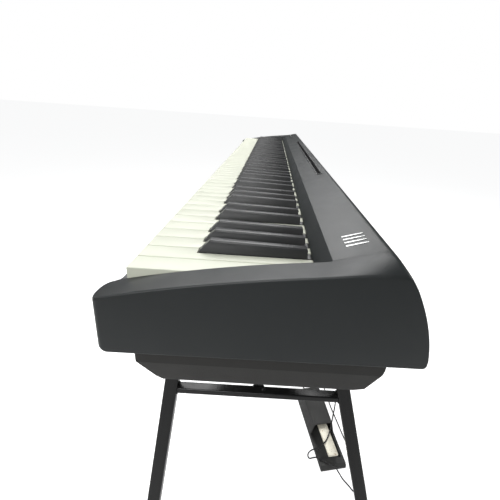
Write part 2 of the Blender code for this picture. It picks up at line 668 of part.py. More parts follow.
def make_piano_feet(finish):
    top = KEY_TOP + TUB_BOTTOM - GAP
    x = arm_x(ARM_TOP - LEG_TUBE / 2)
    for end, side_x in (("bass", -1), ("treble", 1)):
        for place, y in (("front", -0.091), ("rear", 0.039)):
            loops = [circle((side_x * x, y), PIANO_FOOT_RADIUS, 16, z) for z in (ARM_TOP + GAP, top)]
            loft("piano_foot_%s_%s" % (end, place), loops, finish, smooth_angle=40)


# ---------------------------------------------------------------- stand
def arm_x(z):
    """Distance of an end frame from the middle at height z."""
    return CROSSBAR_X - LEG_LEAN * (z - CROSSBAR_HEIGHT)


def leg_y(side_y, splay, z):
    return CROSSBAR_MIDDLE + side_y * (CROSSBAR_HALF_SPREAD - splay * (z - CROSSBAR_HEIGHT))


def leg_loop(side_x, side_y, splay, z, size, corner):
    """Horizontal section of a leg, widened so that it measures size across the slanted tube."""
    wide_x = math.sqrt(1 + LEG_LEAN ** 2)
    wide_y = math.sqrt(1 + splay ** 2)
    return [(side_x * (arm_x(z) + u * wide_x), leg_y(side_y, splay, z) + v * wide_y, z)
            for u, v in rounded_rectangle(size, size, corner)]


def make_leg(name, side_x, side_y, splay, finish):
    heights = (FOOT_SOLE + GAP, ARM_TOP - LEG_TUBE - GAP)
    outer = [leg_loop(side_x, side_y, splay, z, LEG_TUBE, LEG_CORNER) for z in heights]
    inner = [leg_loop(side_x, side_y, splay, z, LEG_TUBE - 2 * TUBE_WALL, LEG_CORNER - TUBE_WALL)
             for z in heights]
    loft(name, outer, finish, inner, smooth_angle=50)


def make_foot(name, side_x, side_y, splay, finish):
    """Rubber cap around the end of a leg."""
    outside = [leg_loop(side_x, side_y, splay, z, FOOT_SIZE, 0.005) for z in (0.0, FOOT_HEIGHT)]
    cap = loft(name, outside, finish, smooth_angle=50)
    pocket = [leg_loop(side_x, side_y, splay, z, LEG_TUBE + 2 * GAP, LEG_CORNER + GAP)
              for z in (FOOT_SOLE, FOOT_HEIGHT + 0.01)]
    cut(cap, loft(name + "_pocket", pocket, None))


def make_tube(name, place, ends, width, height, corner, finish):
    """Closed tube; place(end, u, v) is where a point (u, v) of its section lies at that end."""
    skins = []
    for inset in (0.0, TUBE_WALL):
        section = rounded_rectangle(width - 2 * inset, height - 2 * inset, corner - inset)
        skins.append([[place(end, u, v) for u, v in section] for end in ends])
    loft(name, skins[0], finish, skins[1], smooth_angle=50)


def make_stand(finish, rubber):
    arm_height = ARM_TOP - LEG_TUBE / 2
    splays = {-1: FRONT_SPLAY, 1: REAR_SPLAY}
    for end, side_x in (("bass", -1), ("treble", 1)):
        for place, side_y in (("front", -1), ("rear", 1)):
            make_leg("stand_leg_%s_%s" % (end, place), side_x, side_y, splays[side_y], finish)
            make_foot("stand_foot_%s_%s" % (end, place), side_x, side_y, splays[side_y], rubber)

        def crossbar_point(side_y, u, v):
            """The crossbar's ends are cut to lie along the slanted legs."""
            z = CROSSBAR_HEIGHT + v
            to_face = LEG_TUBE / 2 * math.sqrt(1 + splays[side_y] ** 2) + GAP
            return side_x * CROSSBAR_X + u, leg_y(side_y, splays[side_y], z) - side_y * to_face, z

        def arm_point(y, u, v):
            return side_x * arm_x(arm_height) + u, y, arm_height + v

        make_tube("stand_crossbar_" + end, crossbar_point, (-1, 1), BAR_WIDTH, BAR_HEIGHT, BAR_CORNER, finish)
        make_tube("stand_top_arm_" + end, arm_point, (ARM_FRONT, ARM_REAR), LEG_TUBE, LEG_TUBE, LEG_CORNER,
                  finish)

    def stretcher_point(x, u, v):
        return x, CROSSBAR_MIDDLE + u, CROSSBAR_HEIGHT + v

    reach = CROSSBAR_X - BAR_WIDTH / 2 - GAP
    make_tube("stand_stretcher", stretcher_point, (-reach, reach), BAR_WIDTH, BAR_HEIGHT, BAR_CORNER, finish)


# ---------------------------------------------------------------- pedal
def pedal_frame():
    """The pedal's own frame: X towards its toe, the origin on the floor under its middle."""
    return Matrix.Translation((*PEDAL_MIDDLE, 0.0)) @ Matrix.Rotation(PEDAL_TURN, 4, "Z")


def pedal_prism(name, outline, half_width, finish=None):
    """Outline of (x, z) points in the pedal's frame, extruded across it."""
    frame = pedal_frame()
    loops = [[frame @ Vector((x, y, z)) for x, z in outline] for y in (-half_width, half_width)]
    return loft(name, loops, finish)


def pedal_circle(x, z, radius, y, sides=12):
    """Circle around an axis across the pedal."""
    frame = pedal_frame()
    return [frame @ Vector((x + u, y, z + v)) for u, v, _ in circle((0, 0), radius, sides, 0)]


def make_pedal_body(finishes):
    half = PEDAL_LENGTH / 2
    wide = PEDAL_WIDTH / 2
    sole_top = 0.0025
    pedal_prism("pedal_sole", [(-half + 0.004, 0.0), (half - 0.002, 0.0), (half - 0.002, sole_top),
                               (-half + 0.004, sole_top)], wide - 0.002, finishes["rubber"])
    low = sole_top + GAP
    side = [(-half, low), (half, low), (half, 0.010), (half - 0.006, PEDAL_BASE_HEIGHT),
            (-half, PEDAL_BASE_HEIGHT)]
    tray = [(-half + 0.004, 0.0065), (half - 0.022, 0.0065), (half - 0.018, 0.03), (-half + 0.004, 0.03)]
    base = pedal_prism("pedal_base", side, wide, finishes["pedal"])
    cut(base, pedal_prism("pedal_base_tray", tray, wide - 0.006))


def hood_section(x, low, high, half_low, half_high):
    frame = pedal_frame()
    return [frame @ Vector(point) for point in ((x, -half_low, low), (x, half_low, low),
                                                (x, half_high, high), (x, -half_high, high))]


def make_pedal_hood(finish):
    """Cover over the pivot: its sides lean in and close up towards its open front."""
    rear = -PEDAL_LENGTH / 2
    front = rear + PEDAL_HOOD_LENGTH
    wide = PEDAL_WIDTH / 2
    low = PEDAL_BASE_HEIGHT + GAP
    top = PEDAL_HOOD_HEIGHT
    wall = 0.003
    hood = loft("pedal_hood", [hood_section(rear, low, top - 0.010, wide, wide - 0.004),
                               hood_section(rear + 0.012, low, top, wide, wide - 0.004),
                               hood_section(front, low, top - 0.003, wide, PEDAL_HOOD_FRONT_HALF)], finish)
    cut(hood, loft("pedal_hood_hollow",
                   [hood_section(rear + wall, low - 0.01, top - 0.014, wide - wall, wide - 0.004 - wall),
                    hood_section(rear + 0.013, low - 0.01, top - wall, wide - wall, wide - 0.004 - wall),
                    hood_section(front + 0.01, low - 0.01, top - 0.003 - wall, wide - wall,
                                 PEDAL_HOOD_FRONT_HALF - wall)], None))


def make_pedal_lever(finishes):
    pivot = -PEDAL_LENGTH / 2 + PIVOT_BACK
    tip = PEDAL_LENGTH / 2 - 0.012
    under = LEVER_TOP - LEVER_THICKNESS
    side = [(pivot - 0.012, PIVOT_HEIGHT - 0.006), (pivot + 0.012, PIVOT_HEIGHT - 0.006),
            (pivot + 0.030, under), (tip - 0.010, under), (tip, under - 0.001), (tip, LEVER_TOP - 0.002),
            (tip - 0.003, LEVER_TOP), (pivot + 0.020, LEVER_TOP), (pivot - 0.004, PIVOT_HEIGHT + 0.006),
            (pivot - 0.012, PIVOT_HEIGHT + 0.004)]
    lever = pedal_prism("pedal_lever", side, LEVER_WIDTH / 2, finishes["lever"])
    cut(lever, loft("pedal_lever_bore", [pedal_circle(pivot, PIVOT_HEIGHT, PIN_RADIUS + GAP, y)
                                         for y in (-0.03, 0.03)], None))
    reach = PEDAL_WIDTH / 2 - 0.0068
    loft("pedal_pivot_pin", [pedal_circle(pivot, PIVOT_HEIGHT, PIN_RADIUS, y) for y in (-reach, reach)],
         finishes["steel"], smooth_angle=40)


def make_gland(finish):
    """Tapered strain relief on the rear end of the pedal."""
    frame = pedal_frame()
    start = -PEDAL_LENGTH / 2 - GAP
    loops = []
    for x, radius in ((start, 0.0042), (start - 0.002, 0.0042), (start - GLAND_LENGTH, 0.0026)):
        loops.append([frame @ Vector((x, u, GLAND_HEIGHT + v)) for u, v, _ in circle((0, 0), radius, 10, 0)])
    loft("pedal_cord_gland", loops, finish, smooth_angle=50)


# ---------------------------------------------------------------- cord
def smooth_route(points, steps):
    """Points of a Catmull-Rom curve through the given points, with steps of them to each interval."""
    knots = [Vector(point) for point in points]
    knots = [2 * knots[0] - knots[1]] + knots + [2 * knots[-1] - knots[-2]]
    curve = []
    for before, start, end, after in zip(knots, knots[1:], knots[2:], knots[3:]):
        for step in range(steps):
            t = step / steps
            curve.append(0.5 * (2 * start + (end - before) * t
                                + (2 * before - 5 * start + 4 * end - after) * t * t
                                + (3 * start - before - 3 * end + after) * t * t * t))
    curve.append(knots[-2])
    return curve


def make_cord(finish):
    curve = bpy.data.curves.new("pedal_cord", "CURVE")
    curve.dimensions = "3D"
    curve.bevel_depth = CORD_DIAMETER / 2
    curve.bevel_resolution = 2
    curve.use_fill_caps = True
    points = smooth_route(CORD_ROUTE, CORD_STEPS)
    spline = curve.splines.new("POLY")
    spline.points.add(len(points) - 1)
    for place, point in zip(spline.points, points):
        place.co = (*point, 1.0)
    curve.materials.append(finish)
    bpy.context.scene.collection.objects.link(bpy.data.objects.new("pedal_cord", curve))


def make_plug(finish):
    """Jack plug in the rear of the case: shank, body and a sleeve that tapers to the cord."""
    face = KEY_FRONT + rear_face((JACK_BOTTOM + JACK_TOP) / 2) - 0.001 + GAP
    shank = PLUG_SHANK / 2
    profile = [(face - 0.024, shank - 0.001), (face - 0.022, shank), (face + 0.0015, shank),
               (face + 0.0015, PLUG_BODY / 2), (face + 0.0125, PLUG_BODY / 2), (face + 0.0145, 0.0034),
               (PLUG_END - GAP, 0.0024)]
    loops = [[(JACK_X + u, y, jack_height() + v) for u, v, _ in circle((0, 0), radius, 12, 0)]
             for y, radius in profile]
    loft("pedal_plug", loops, finish, smooth_angle=50)


# ---------------------------------------------------------------- assembly
def main():
    clear_scene()
    finishes = make_materials()
    make_keys(finishes)
    make_upper_case(finishes["case"])
    make_lower_case(finishes["case"])
    make_front_rail(finishes["case"])
    make_chassis(finishes["chassis"], finishes["felt"])
    make_slot_trim(finishes["case"])
    make_buttons(finishes["case"])
    make_boards(finishes["board"])
    make_jack_plate(finishes["case"])
    make_speakers(finishes["speaker"])
    make_piano_feet(finishes["rubber"])
    make_stand(finishes["steel"], finishes["rubber"])
    make_pedal_body(finishes)
    make_pedal_hood(finishes["pedal"])
    make_pedal_lever(finishes)
    make_gland(finishes["rubber"])
    make_cord(finishes["cord"])
    make_plug(finishes["rubber"])


main()
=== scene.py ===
"""Looks of the digital piano on its stand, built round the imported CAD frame.

Frame: metres, +Z up, +X towards the treble end, -Y towards the player. Case and keys are laid out
from the front edge and the top of the white keys.
"""
import math

import bmesh
import bpy
from mathutils import Matrix, Vector


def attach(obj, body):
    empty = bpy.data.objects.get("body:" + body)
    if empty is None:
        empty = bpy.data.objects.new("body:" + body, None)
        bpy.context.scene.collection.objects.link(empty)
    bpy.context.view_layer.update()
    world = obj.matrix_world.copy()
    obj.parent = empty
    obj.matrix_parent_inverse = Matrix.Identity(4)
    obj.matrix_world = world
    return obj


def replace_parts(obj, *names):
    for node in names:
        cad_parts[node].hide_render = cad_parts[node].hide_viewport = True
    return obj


# ---------------------------------------------------------------- driving dimensions
KEY_TOP = 0.700
KEY_FRONT = -0.1365
WHITE_PITCH = 0.0235
WHITE_KEYS = 52
WHITE_GAP = 0.0010
WHITE_LENGTH = 0.1535
WHITE_DEPTH = 0.018
KEY_TAIL = 0.198
TAIL_DROP = 0.0112
BLACK_FRONT = 0.0501
BLACK_TOP_FRONT = 0.0592
BLACK_REAR = 0.1484
BLACK_HEIGHT = 0.0118
BLACK_REAR_HEIGHT = 0.0088
BLACK_FOOT_WIDTH = 0.0122
BLACK_TOP_WIDTH = 0.0095
BLACK_DEPTH = 0.0138
NOTCH_WIDTH = 0.0142
BLACK_OFFSETS = {"C": -0.0023, "D": 0.0023, "F": -0.0034, "G": 0.0, "A": 0.0034}
KEY_BLOCK_END = WHITE_PITCH * WHITE_KEYS / 2

CASE_HALF = 0.642
CHEEK_INNER = 0.6113
CASE_BOTTOM = -0.058
NOSE_FRONT = -0.0168            # end block's rounded nose, at its top
SLIP_FRONT = -0.0058            # key slip between the end blocks
SLIP_REAR = -0.0015
SLIP_TOP = -0.0120
NOSE_FLAT = 0.0120              # from the key block's end to where the nose is full
NOSE_TURN = 0.0030              # where its concave fillet takes over
FILLET_START = -0.0110
NOSE_MIDDLE = -0.0105
CORNER_START = 0.0165           # from the key block's end to where the outer corner begins to turn
CORNER_BACK = 0.0102            # how far back the outer corner runs
FOOT_LEAN = 0.0018              # the front leans out by this much at the bottom
CHEEK_REFERENCE = -0.0165
CHEEK_START = -0.0130
CHEEK_RISE = 0.244
CHEEK_SAG = 0.43
LIP_FRONT = 0.1515
LIP_BOTTOM = 0.0022
PANEL_FRONT = 0.163
PANEL_FRONT_TOP = 0.0174
PANEL_REAR = 0.2055
PANEL_REAR_TOP = 0.0300
TOP_FALL = 0.0097
REAR_FOOT = 0.2425
REAR_FOOT_TOP = -0.050
REAR_LEAN = 0.15
REAR_CURVE = 3.5
WALL = 0.003
GAP = 0.0003                    # between pieces that meet face to face
END_ROUND = 0.0018              # round-over along the edge of the end face
END_EDGE = 0.0016               # round-over along the end block's edge beside the keys
OUTER_RISE = 0.0022             # the end block's top climbs by this much towards its outer edge
FOOT_DROP = 0.0018              # the front of the end block hangs this much lower than its rear
SLOT_HALF = 0.283
SLOT_MIDDLE = 0.1928
SLOT_WIDTH = 0.0056
SLOT_TRIM = 0.0023              # flange of the slot's lining on each side
BUTTON_CLEARANCE = 0.0008
BUTTONS = {"power_button": (-0.590, 0.0095), "volume_down_button": (-0.548, 0.0120),
           "volume_up_button": (-0.526, 0.0120), "function_button": (-0.492, 0.0120),
           "piano_tone_button": (-0.466, 0.0120)}
BUTTON_BACK = 0.0205
BUTTON_WIDTH = 0.0065
BUTTON_PROUD = 0.0014
JACK_MIDDLE = 0.170
JACK_HALF = 0.060
JACK_BOTTOM = -0.046
JACK_TOP = -0.022
JACK_X = 0.2065
PLUG_END = 0.1210

LEG_TUBE = 0.0238
LEG_CORNER = 0.0030
BAR_WIDTH = 0.0185
BAR_HEIGHT = 0.0120
BAR_CORNER = 0.0025
CROSSBAR_HEIGHT = 0.3445
CROSSBAR_MIDDLE = -0.0230
CROSSBAR_HALF_SPREAD = 0.1589
CROSSBAR_X = 0.3968
LEG_SPLAYS = {-1: math.tan(math.radians(7.6)), 1: math.tan(math.radians(14.9))}    # front, rear
LEG_LEAN = math.tan(math.radians(12.0))
ARM_TOP = 0.6070
ARM_ENDS = (-0.178, 0.095)
FOOT_SOLE = 0.005

PEDAL_MIDDLE = (0.2010, 0.1570)
PEDAL_TURN = math.radians(11.5)
PEDAL_LENGTH = 0.222
PEDAL_WIDTH = 0.066
PEDAL_BASE_HEIGHT = 0.016
HOOD_LENGTH = 0.129
HOOD_HEIGHT = 0.055
HOOD_WALL = 0.0026
HOOD_LEAN = 0.0045              # each side leans in by this much at the top
HOOD_CORNER = 0.0085
HOOD_REAR_DROP = 0.013          # the rounded rear of the hood starts this much below its top
HOOD_NARROWING = 0.0035
HOOD_RING_BACK = 0.072
LEVER_WIDTH = 0.026
LEVER_THICKNESS = 0.005
LEVER_TOP = 0.040
PIVOT_BACK = 0.055
PIVOT_HEIGHT = 0.030
GLAND_HEIGHT = 0.0085
GLAND_LENGTH = 0.018

CORD_DIAMETER = 0.0032
CORD_STEPS = 6
CORD_ROUTE = [
    (JACK_X, PLUG_END, 0.6660), (0.2065, 0.1265, 0.6652), (0.2065, 0.1312, 0.6622), (0.2065, 0.1338, 0.6570),
    (0.2065, 0.1350, 0.6450), (0.2065, 0.1380, 0.6150), (0.2065, 0.1510, 0.5000), (0.2065, 0.1690, 0.3500),
    (0.2065, 0.1810, 0.2000), (0.2065, 0.1855, 0.1100), (0.2075, 0.1855, 0.0760), (0.2110, 0.1843, 0.0640),
    (0.2185, 0.1820, 0.0588), (0.2270, 0.1792, 0.0530), (0.2350, 0.1760, 0.0455), (0.2510, 0.1685, 0.0430),
    (0.2640, 0.1610, 0.0436), (0.2702, 0.1535, 0.0412), (0.2735, 0.1475, 0.0300), (0.2720, 0.1410, 0.0205),
    (0.2685, 0.1340, 0.0170), (0.2665, 0.1270, 0.0090), (0.2695, 0.1205, 0.0030), (0.2770, 0.1180, 0.0024),
    (0.2845, 0.1210, 0.0040), (0.2885, 0.1275, 0.0120), (0.2915, 0.1355, 0.0190), (0.2950, 0.1450, 0.0190),
    (0.2995, 0.1560, 0.0190), (0.3065, 0.1700, 0.0190), (0.3135, 0.1815, 0.0180), (0.3215, 0.1905, 0.0090),
    (0.3310, 0.1990, 0.0024), (0.3430, 0.2085, 0.0022), (0.3567, 0.2184, 0.0022), (0.3660, 0.2300, 0.0022),
    (0.3630, 0.2440, 0.0022), (0.3420, 0.2500, 0.0022), (0.3080, 0.2470, 0.0022), (0.2650, 0.2370, 0.0022),
    (0.2204, 0.2236, 0.0022), (0.1700, 0.2130, 0.0022), (0.1150, 0.2020, 0.0021), (0.0550, 0.1940, 0.0021),
    (-0.0080, 0.1800, 0.0021), (-0.0480, 0.1530, 0.0021), (-0.0560, 0.1200, 0.0021),
    (-0.0340, 0.0950, 0.0021), (0.0020, 0.0920, 0.0022), (0.0330, 0.1070, 0.0035), (0.0530, 0.1230, 0.0070),
    (0.0724, 0.1308, 0.0085)]

CAMERA_PLACE = (0.84064, -0.02655, 0.82305)
CAMERA_YAW = math.radians(0.655)
CAMERA_PITCH = math.radians(23.657)
CAMERA_ROLL = math.radians(3.941)
CAMERA_LENS = 23.46
CAMERA_SHIFT = (-0.0374, 0.0013)
FLOOR_REACH = 30


# ---------------------------------------------------------------- camera, light and floor
def make_camera():
    forward = Vector((-math.cos(CAMERA_PITCH) * math.cos(CAMERA_YAW),
                      math.cos(CAMERA_PITCH) * math.sin(CAMERA_YAW), -math.sin(CAMERA_PITCH)))
    level = forward.cross(Vector((0, 0, 1))).normalized()
    upright = level.cross(forward)
    right = level * math.cos(CAMERA_ROLL) + upright * math.sin(CAMERA_ROLL)
    up = upright * math.cos(CAMERA_ROLL) - level * math.sin(CAMERA_ROLL)
    data = bpy.data.cameras.new("camera")
    data.sensor_width = 36.0
    data.lens = CAMERA_LENS
    data.shift_x = CAMERA_SHIFT[0]
    data.shift_y = CAMERA_SHIFT[1]
    data.clip_start = 0.01
    camera = bpy.data.objects.new("camera", data)
    turn = Matrix((right, up, -forward)).transposed().to_4x4()
    camera.matrix_world = Matrix.Translation(CAMERA_PLACE) @ turn
    bpy.context.scene.collection.objects.link(camera)
    bpy.context.scene.camera = camera


def area_light(name, place, target, size, power):
    data = bpy.data.lights.new(name, "AREA")
    data.shape = "RECTANGLE"
    data.size = size[0]
    data.size_y = size[1]
    data.energy = power
    light = bpy.data.objects.new(name, data)
    light.location = place
    light.rotation_euler = (Vector(target) - Vector(place)).to_track_quat("-Z", "Y").to_euler()
    bpy.context.scene.collection.objects.link(light)


def make_studio():
    scene = bpy.context.scene
    scene.view_settings.view_transform = "Standard"
    world = bpy.data.worlds.new("studio")
    scene.world = world
    world.use_nodes = True
    nodes = world.node_tree.nodes
    links = world.node_tree.links
    seen = nodes.new("ShaderNodeBackground")
    seen.inputs["Color"].default_value = (1, 1, 1, 1)
    seen.inputs["Strength"].default_value = 1.0
    lit = nodes["Background"]
    lit.inputs["Color"].default_value = (0.95, 0.98, 1.0, 1)
    lit.inputs["Strength"].default_value = 0.16
    ray = nodes.new("ShaderNodeLightPath")
    mix = nodes.new("ShaderNodeMixShader")
    links.new(ray.outputs["Is Camera Ray"], mix.inputs[0])
    links.new(lit.outputs[0], mix.inputs[1])
    links.new(seen.outputs[0], mix.inputs[2])
    links.new(mix.outputs[0], nodes["World Output"].inputs["Surface"])
    area_light("near_light", (3.0, -0.9, 2.1), (0.5, 0.0, 0.5), (2.0, 1.8), 50)
    area_light("overhead_light", (-0.9, -0.4, 2.05), (0.5, 0.0, 0.70), (1.8, 1.2), 34)
    area_light("player_light", (0.1, -2.0, 1.7), (0.1, 0.0, 0.6), (1.6, 1.0), 14)
    area_light("rear_light", (0.2, 2.2, 1.5), (0.1, 0.0, 0.5), (1.6, 1.0), 24)
    area_light("edge_light", (1.1, -0.3, 2.3), (0.6, 0.0, 0.7), (0.4, 0.9), 10)


def make_floor():
    shape = bmesh.new()
    bmesh.ops.create_grid(shape, x_segments=8, y_segments=8, size=FLOOR_REACH)
    mesh = bpy.data.meshes.new("studio_floor")
    shape.to_mesh(mesh)
    shape.free()
    floor = bpy.data.objects.new("studio_floor", mesh)
    bpy.context.scene.collection.objects.link(floor)
    finish = bpy.data.materials.new("pale_floor")
    finish.use_nodes = True
    shader = finish.node_tree.nodes["Principled BSDF"]
    shader.inputs["Base Color"].default_value = (0.70, 0.70, 0.70, 1)
    shader.inputs["Roughness"].default_value = 0.9
    shader.inputs["Specular IOR Level"].default_value = 0.1
    nodes = finish.node_tree.nodes
    links = finish.node_tree.links
    glow = nodes.new("ShaderNodeEmission")
    glow.inputs["Strength"].default_value = 0.84
    ray = nodes.new("ShaderNodeLightPath")
    seen = nodes.new("ShaderNodeMixShader")
    both = nodes.new("ShaderNodeAddShader")
    links.new(ray.outputs["Is Camera Ray"], seen.inputs[0])
    links.new(glow.outputs[0], seen.inputs[2])
    links.new(shader.outputs[0], both.inputs[0])
    links.new(seen.outputs[0], both.inputs[1])
    links.new(both.outputs[0], nodes["Material Output"].inputs["Surface"])
    mesh.materials.append(finish)


# ---------------------------------------------------------------- materials
def surface(name, dark, light, rough, grain, blotch=6.0, metallic=0.0, island=0.0, fleck=None,
            specular=0.5):
    """Procedural finish.

    dark and light are the ends of a soft colour drift at scale blotch, rough is (low, high), grain is
    (scale, height in metres) of the fine texture, island shifts the colour from one loose part to the
    next, and fleck is (scale, colour, amount).
    """
    made = bpy.data.materials.new(name)
    made.use_nodes = True
    nodes = made.node_tree.nodes
    links = made.node_tree.links
    shader = nodes["Principled BSDF"]
    shader.inputs["Metallic"].default_value = metallic
    shader.inputs["Specular IOR Level"].default_value = specular
    place = nodes.new("ShaderNodeTexCoord").outputs["Object"]

    def noise(scale, detail):
        texture = nodes.new("ShaderNodeTexNoise")
        texture.inputs["Scale"].default_value = scale
        texture.inputs["Detail"].default_value = detail
        links.new(place, texture.inputs["Vector"])
        return texture.outputs["Fac"]

    def remap(value, low, high, to_low, to_high):
        node = nodes.new("ShaderNodeMapRange")
        links.new(value, node.inputs["Value"])
        node.inputs["From Min"].default_value = low
        node.inputs["From Max"].default_value = high
        node.inputs["To Min"].default_value = to_low
        node.inputs["To Max"].default_value = to_high
        return node.outputs["Result"]

    def mix_color(factor, first, second):
        node = nodes.new("ShaderNodeMix")
        node.data_type = "RGBA"
        links.new(factor, node.inputs["Factor"])
        for socket, value in ((node.inputs[6], first), (node.inputs[7], second)):
            if isinstance(value, tuple):
                socket.default_value = (*value, 1)
            else:
                links.new(value, socket)
        return node.outputs[2]

    drift = remap(noise(blotch, 4), 0.3, 0.7, 0, 1)
    color = mix_color(drift, dark, light)
    if island:
        geometry = nodes.new("ShaderNodeNewGeometry")
        shade = remap(geometry.outputs["Random Per Island"], 0, 1, 0, island)
        color = mix_color(shade, color, tuple(c * 0.55 for c in dark))
    if fleck:
        spots = remap(noise(fleck[0], 2), 0.62, 0.74, 0, fleck[2])
        color = mix_color(spots, color, fleck[1])
    height = noise(grain[0], 3)
    roughness = remap(noise(blotch * 5, 6), 0.3, 0.7, *rough)
    links.new(color, shader.inputs["Base Color"])
    links.new(roughness, shader.inputs["Roughness"])
    bump = nodes.new("ShaderNodeBump")
    bump.inputs["Strength"].default_value = 1.0
    bump.inputs["Distance"].default_value = grain[1]
    links.new(height, bump.inputs["Height"])
    links.new(bump.outputs["Normal"], shader.inputs["Normal"])
    return made


def make_finishes():
    lamp = surface("lamp_lens", (0.9, 0.95, 0.9), (1.0, 1.0, 0.95), (0.15, 0.25), (900, 0.00001))
    lamp.node_tree.nodes["Principled BSDF"].inputs["Emission Color"].default_value = (0.85, 1.0, 0.9, 1)
    lamp.node_tree.nodes["Principled BSDF"].inputs["Emission Strength"].default_value = 1.2
    return {
        "case": surface("case_plastic", (0.007, 0.010, 0.011), (0.010, 0.012, 0.012), (0.32, 0.42),
                        (2600, 0.00010), blotch=5, specular=0.48),
        "tub": surface("tub_plastic", (0.011, 0.011, 0.010), (0.016, 0.015, 0.013), (0.36, 0.46),
                       (2200, 0.00012), blotch=6, specular=0.38),
        "slip": surface("slip_plastic", (0.007, 0.010, 0.011), (0.010, 0.012, 0.012), (0.32, 0.42),
                        (2600, 0.00010), blotch=5, specular=0.48),
        "white_key": surface("white_key", (0.615, 0.635, 0.525), (0.65, 0.66, 0.56), (0.40, 0.48),
                             (1400, 0.00002), blotch=9, island=0.06),
        "black_key": surface("black_key", (0.020, 0.021, 0.022), (0.030, 0.030, 0.031), (0.28, 0.38),
                             (2400, 0.00008), blotch=14, island=0.2),
        "button": surface("button_rubber", (0.030, 0.031, 0.032), (0.045, 0.045, 0.045), (0.55, 0.70),
                          (2600, 0.00010), blotch=30),
        "slot": surface("slot_plastic", (0.020, 0.021, 0.022), (0.028, 0.028, 0.029), (0.35, 0.48),
                        (2200, 0.00006), blotch=12),
        "steel": surface("stand_enamel", (0.004, 0.004, 0.004), (0.007, 0.007, 0.007), (0.14, 0.24),
                         (420, 0.00008), blotch=9, specular=0.35),
        "rubber": surface("foot_rubber", (0.016, 0.016, 0.016), (0.026, 0.026, 0.026), (0.70, 0.85),
                          (1500, 0.00016), blotch=20),
        "cord": surface("cord_jacket", (0.010, 0.010, 0.010), (0.018, 0.018, 0.018), (0.32, 0.46),
                        (1200, 0.00006), blotch=30),
        "pedal": surface("pedal_plastic", (0.034, 0.034, 0.033), (0.046, 0.046, 0.044), (0.42, 0.56),
                         (2400, 0.00012), blotch=16),
        "lever": surface("lever_plating", (0.80, 0.76, 0.64), (0.92, 0.88, 0.74), (0.26, 0.38),
                         (900, 0.00003), blotch=40, metallic=0.30, fleck=(90, (0.40, 0.25, 0.12), 0.7)),
        "nickel": surface("nickel", (0.55, 0.54, 0.50), (0.70, 0.69, 0.65), (0.16, 0.30), (1600, 0.00003),
                          blotch=40, metallic=1.0),
        "felt": surface("red_felt", (0.16, 0.014, 0.020), (0.26, 0.03, 0.035), (0.90, 0.98),
                        (1800, 0.0004), blotch=120),
        "board": surface("solder_mask", (0.010, 0.055, 0.024), (0.016, 0.085, 0.034), (0.30, 0.44),
                         (800, 0.00006), blotch=40, fleck=(300, (0.5, 0.42, 0.2), 0.5)),
        "chassis": surface("chassis_resin", (0.08, 0.08, 0.08), (0.11, 0.11, 0.105), (0.5, 0.62),
                           (900, 0.00010), blotch=14),
        "speaker": surface("speaker_paper", (0.022, 0.022, 0.022), (0.036, 0.036, 0.035), (0.80, 0.92),
                           (1600, 0.00025), blotch=60),
        "print": surface("panel_print", (0.50, 0.51, 0.50), (0.60, 0.61, 0.60), (0.35, 0.45), (1800, 0.00002),
                         blotch=80),
        "mark": surface("foil_mark", (0.62, 0.63, 0.62), (0.75, 0.76, 0.75), (0.20, 0.32), (1500, 0.00002),
                        blotch=60, metallic=0.6),
        "lamp": lamp,
    }


# ---------------------------------------------------------------- mesh helpers
def publish(name, shape, finish, body="root", smooth_angle=35):
    """Turns a bmesh into a piece that rides on a body."""
    bmesh.ops.remove_doubles(shape, verts=shape.verts, dist=0.000005)
    bmesh.ops.recalc_face_normals(shape, faces=shape.faces)
    mesh = bpy.data.meshes.new(name)
    shape.to_mesh(mesh)
    shape.free()
    mesh.materials.append(finish)
    mesh.shade_smooth()
    mesh.set_sharp_from_angle(angle=math.radians(smooth_angle))
    piece = bpy.data.objects.new(name, mesh)
    bpy.context.scene.collection.objects.link(piece)
    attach(piece, body)
    return piece


def add_loft(shape, loops, close_start=True, close_end=True, closed=True):
    """Skins loops of equal length; closed joins each loop's last point to its first."""
    rings = [[shape.verts.new(point) for point in loop] for loop in loops]
    count = len(rings[0])
    for lower, upper in zip(rings, rings[1:]):
        for i in range(count if closed else count - 1):
            j = (i + 1) % count
            shape.faces.new((lower[i], lower[j], upper[j], upper[i]))
    if close_start:
        shape.faces.new(rings[0])
    if close_end:
        shape.faces.new(rings[-1])
    return rings


def close_ring(shape, rings):
    """Skins the last of a row of loops to the first."""
    last = rings[-1]
    first = rings[0]
    for i in range(len(last)):
        j = (i + 1) % len(last)
        shape.faces.new((last[i], last[j], first[j], first[i]))


def lay_out(x, y, z):
    """Point given from the middle of the keyboard, the key front and the key top."""
    return Vector((x, KEY_FRONT + y, KEY_TOP + z))


def rounded(corners, steps=5):
    """Closed outline through corners given as (u, v, radius), with each corner rounded off."""
    count = len(corners)
    outline = []
    for i, (u, v, radius) in enumerate(corners):
        here = Vector((u, v))
        if radius <= 0:
            outline.append(here)
            continue
        before = Vector(corners[i - 1][:2]) - here
        after = Vector(corners[(i + 1) % count][:2]) - here
        half = before.angle(after) / 2
        reach = min(radius / math.tan(half), before.length * 0.49, after.length * 0.49)
        start = here + before.normalized() * reach
        end = here + after.normalized() * reach
        weight = math.sin(half)
        for step in range(steps + 1):
            t = step / steps
            a, b, c = (1 - t) ** 2, 2 * t * (1 - t) * weight, t * t
            outline.append((start * a + here * b + end * c) / (a + b + c))
    return outline


def rectangle(width, height, corner, steps=6):
    """Rectangle round the origin, with rounded corners."""
    return rounded([(-width / 2, -height / 2, corner), (width / 2, -height / 2, corner),
                    (width / 2, height / 2, corner), (-width / 2, height / 2, corner)], steps)


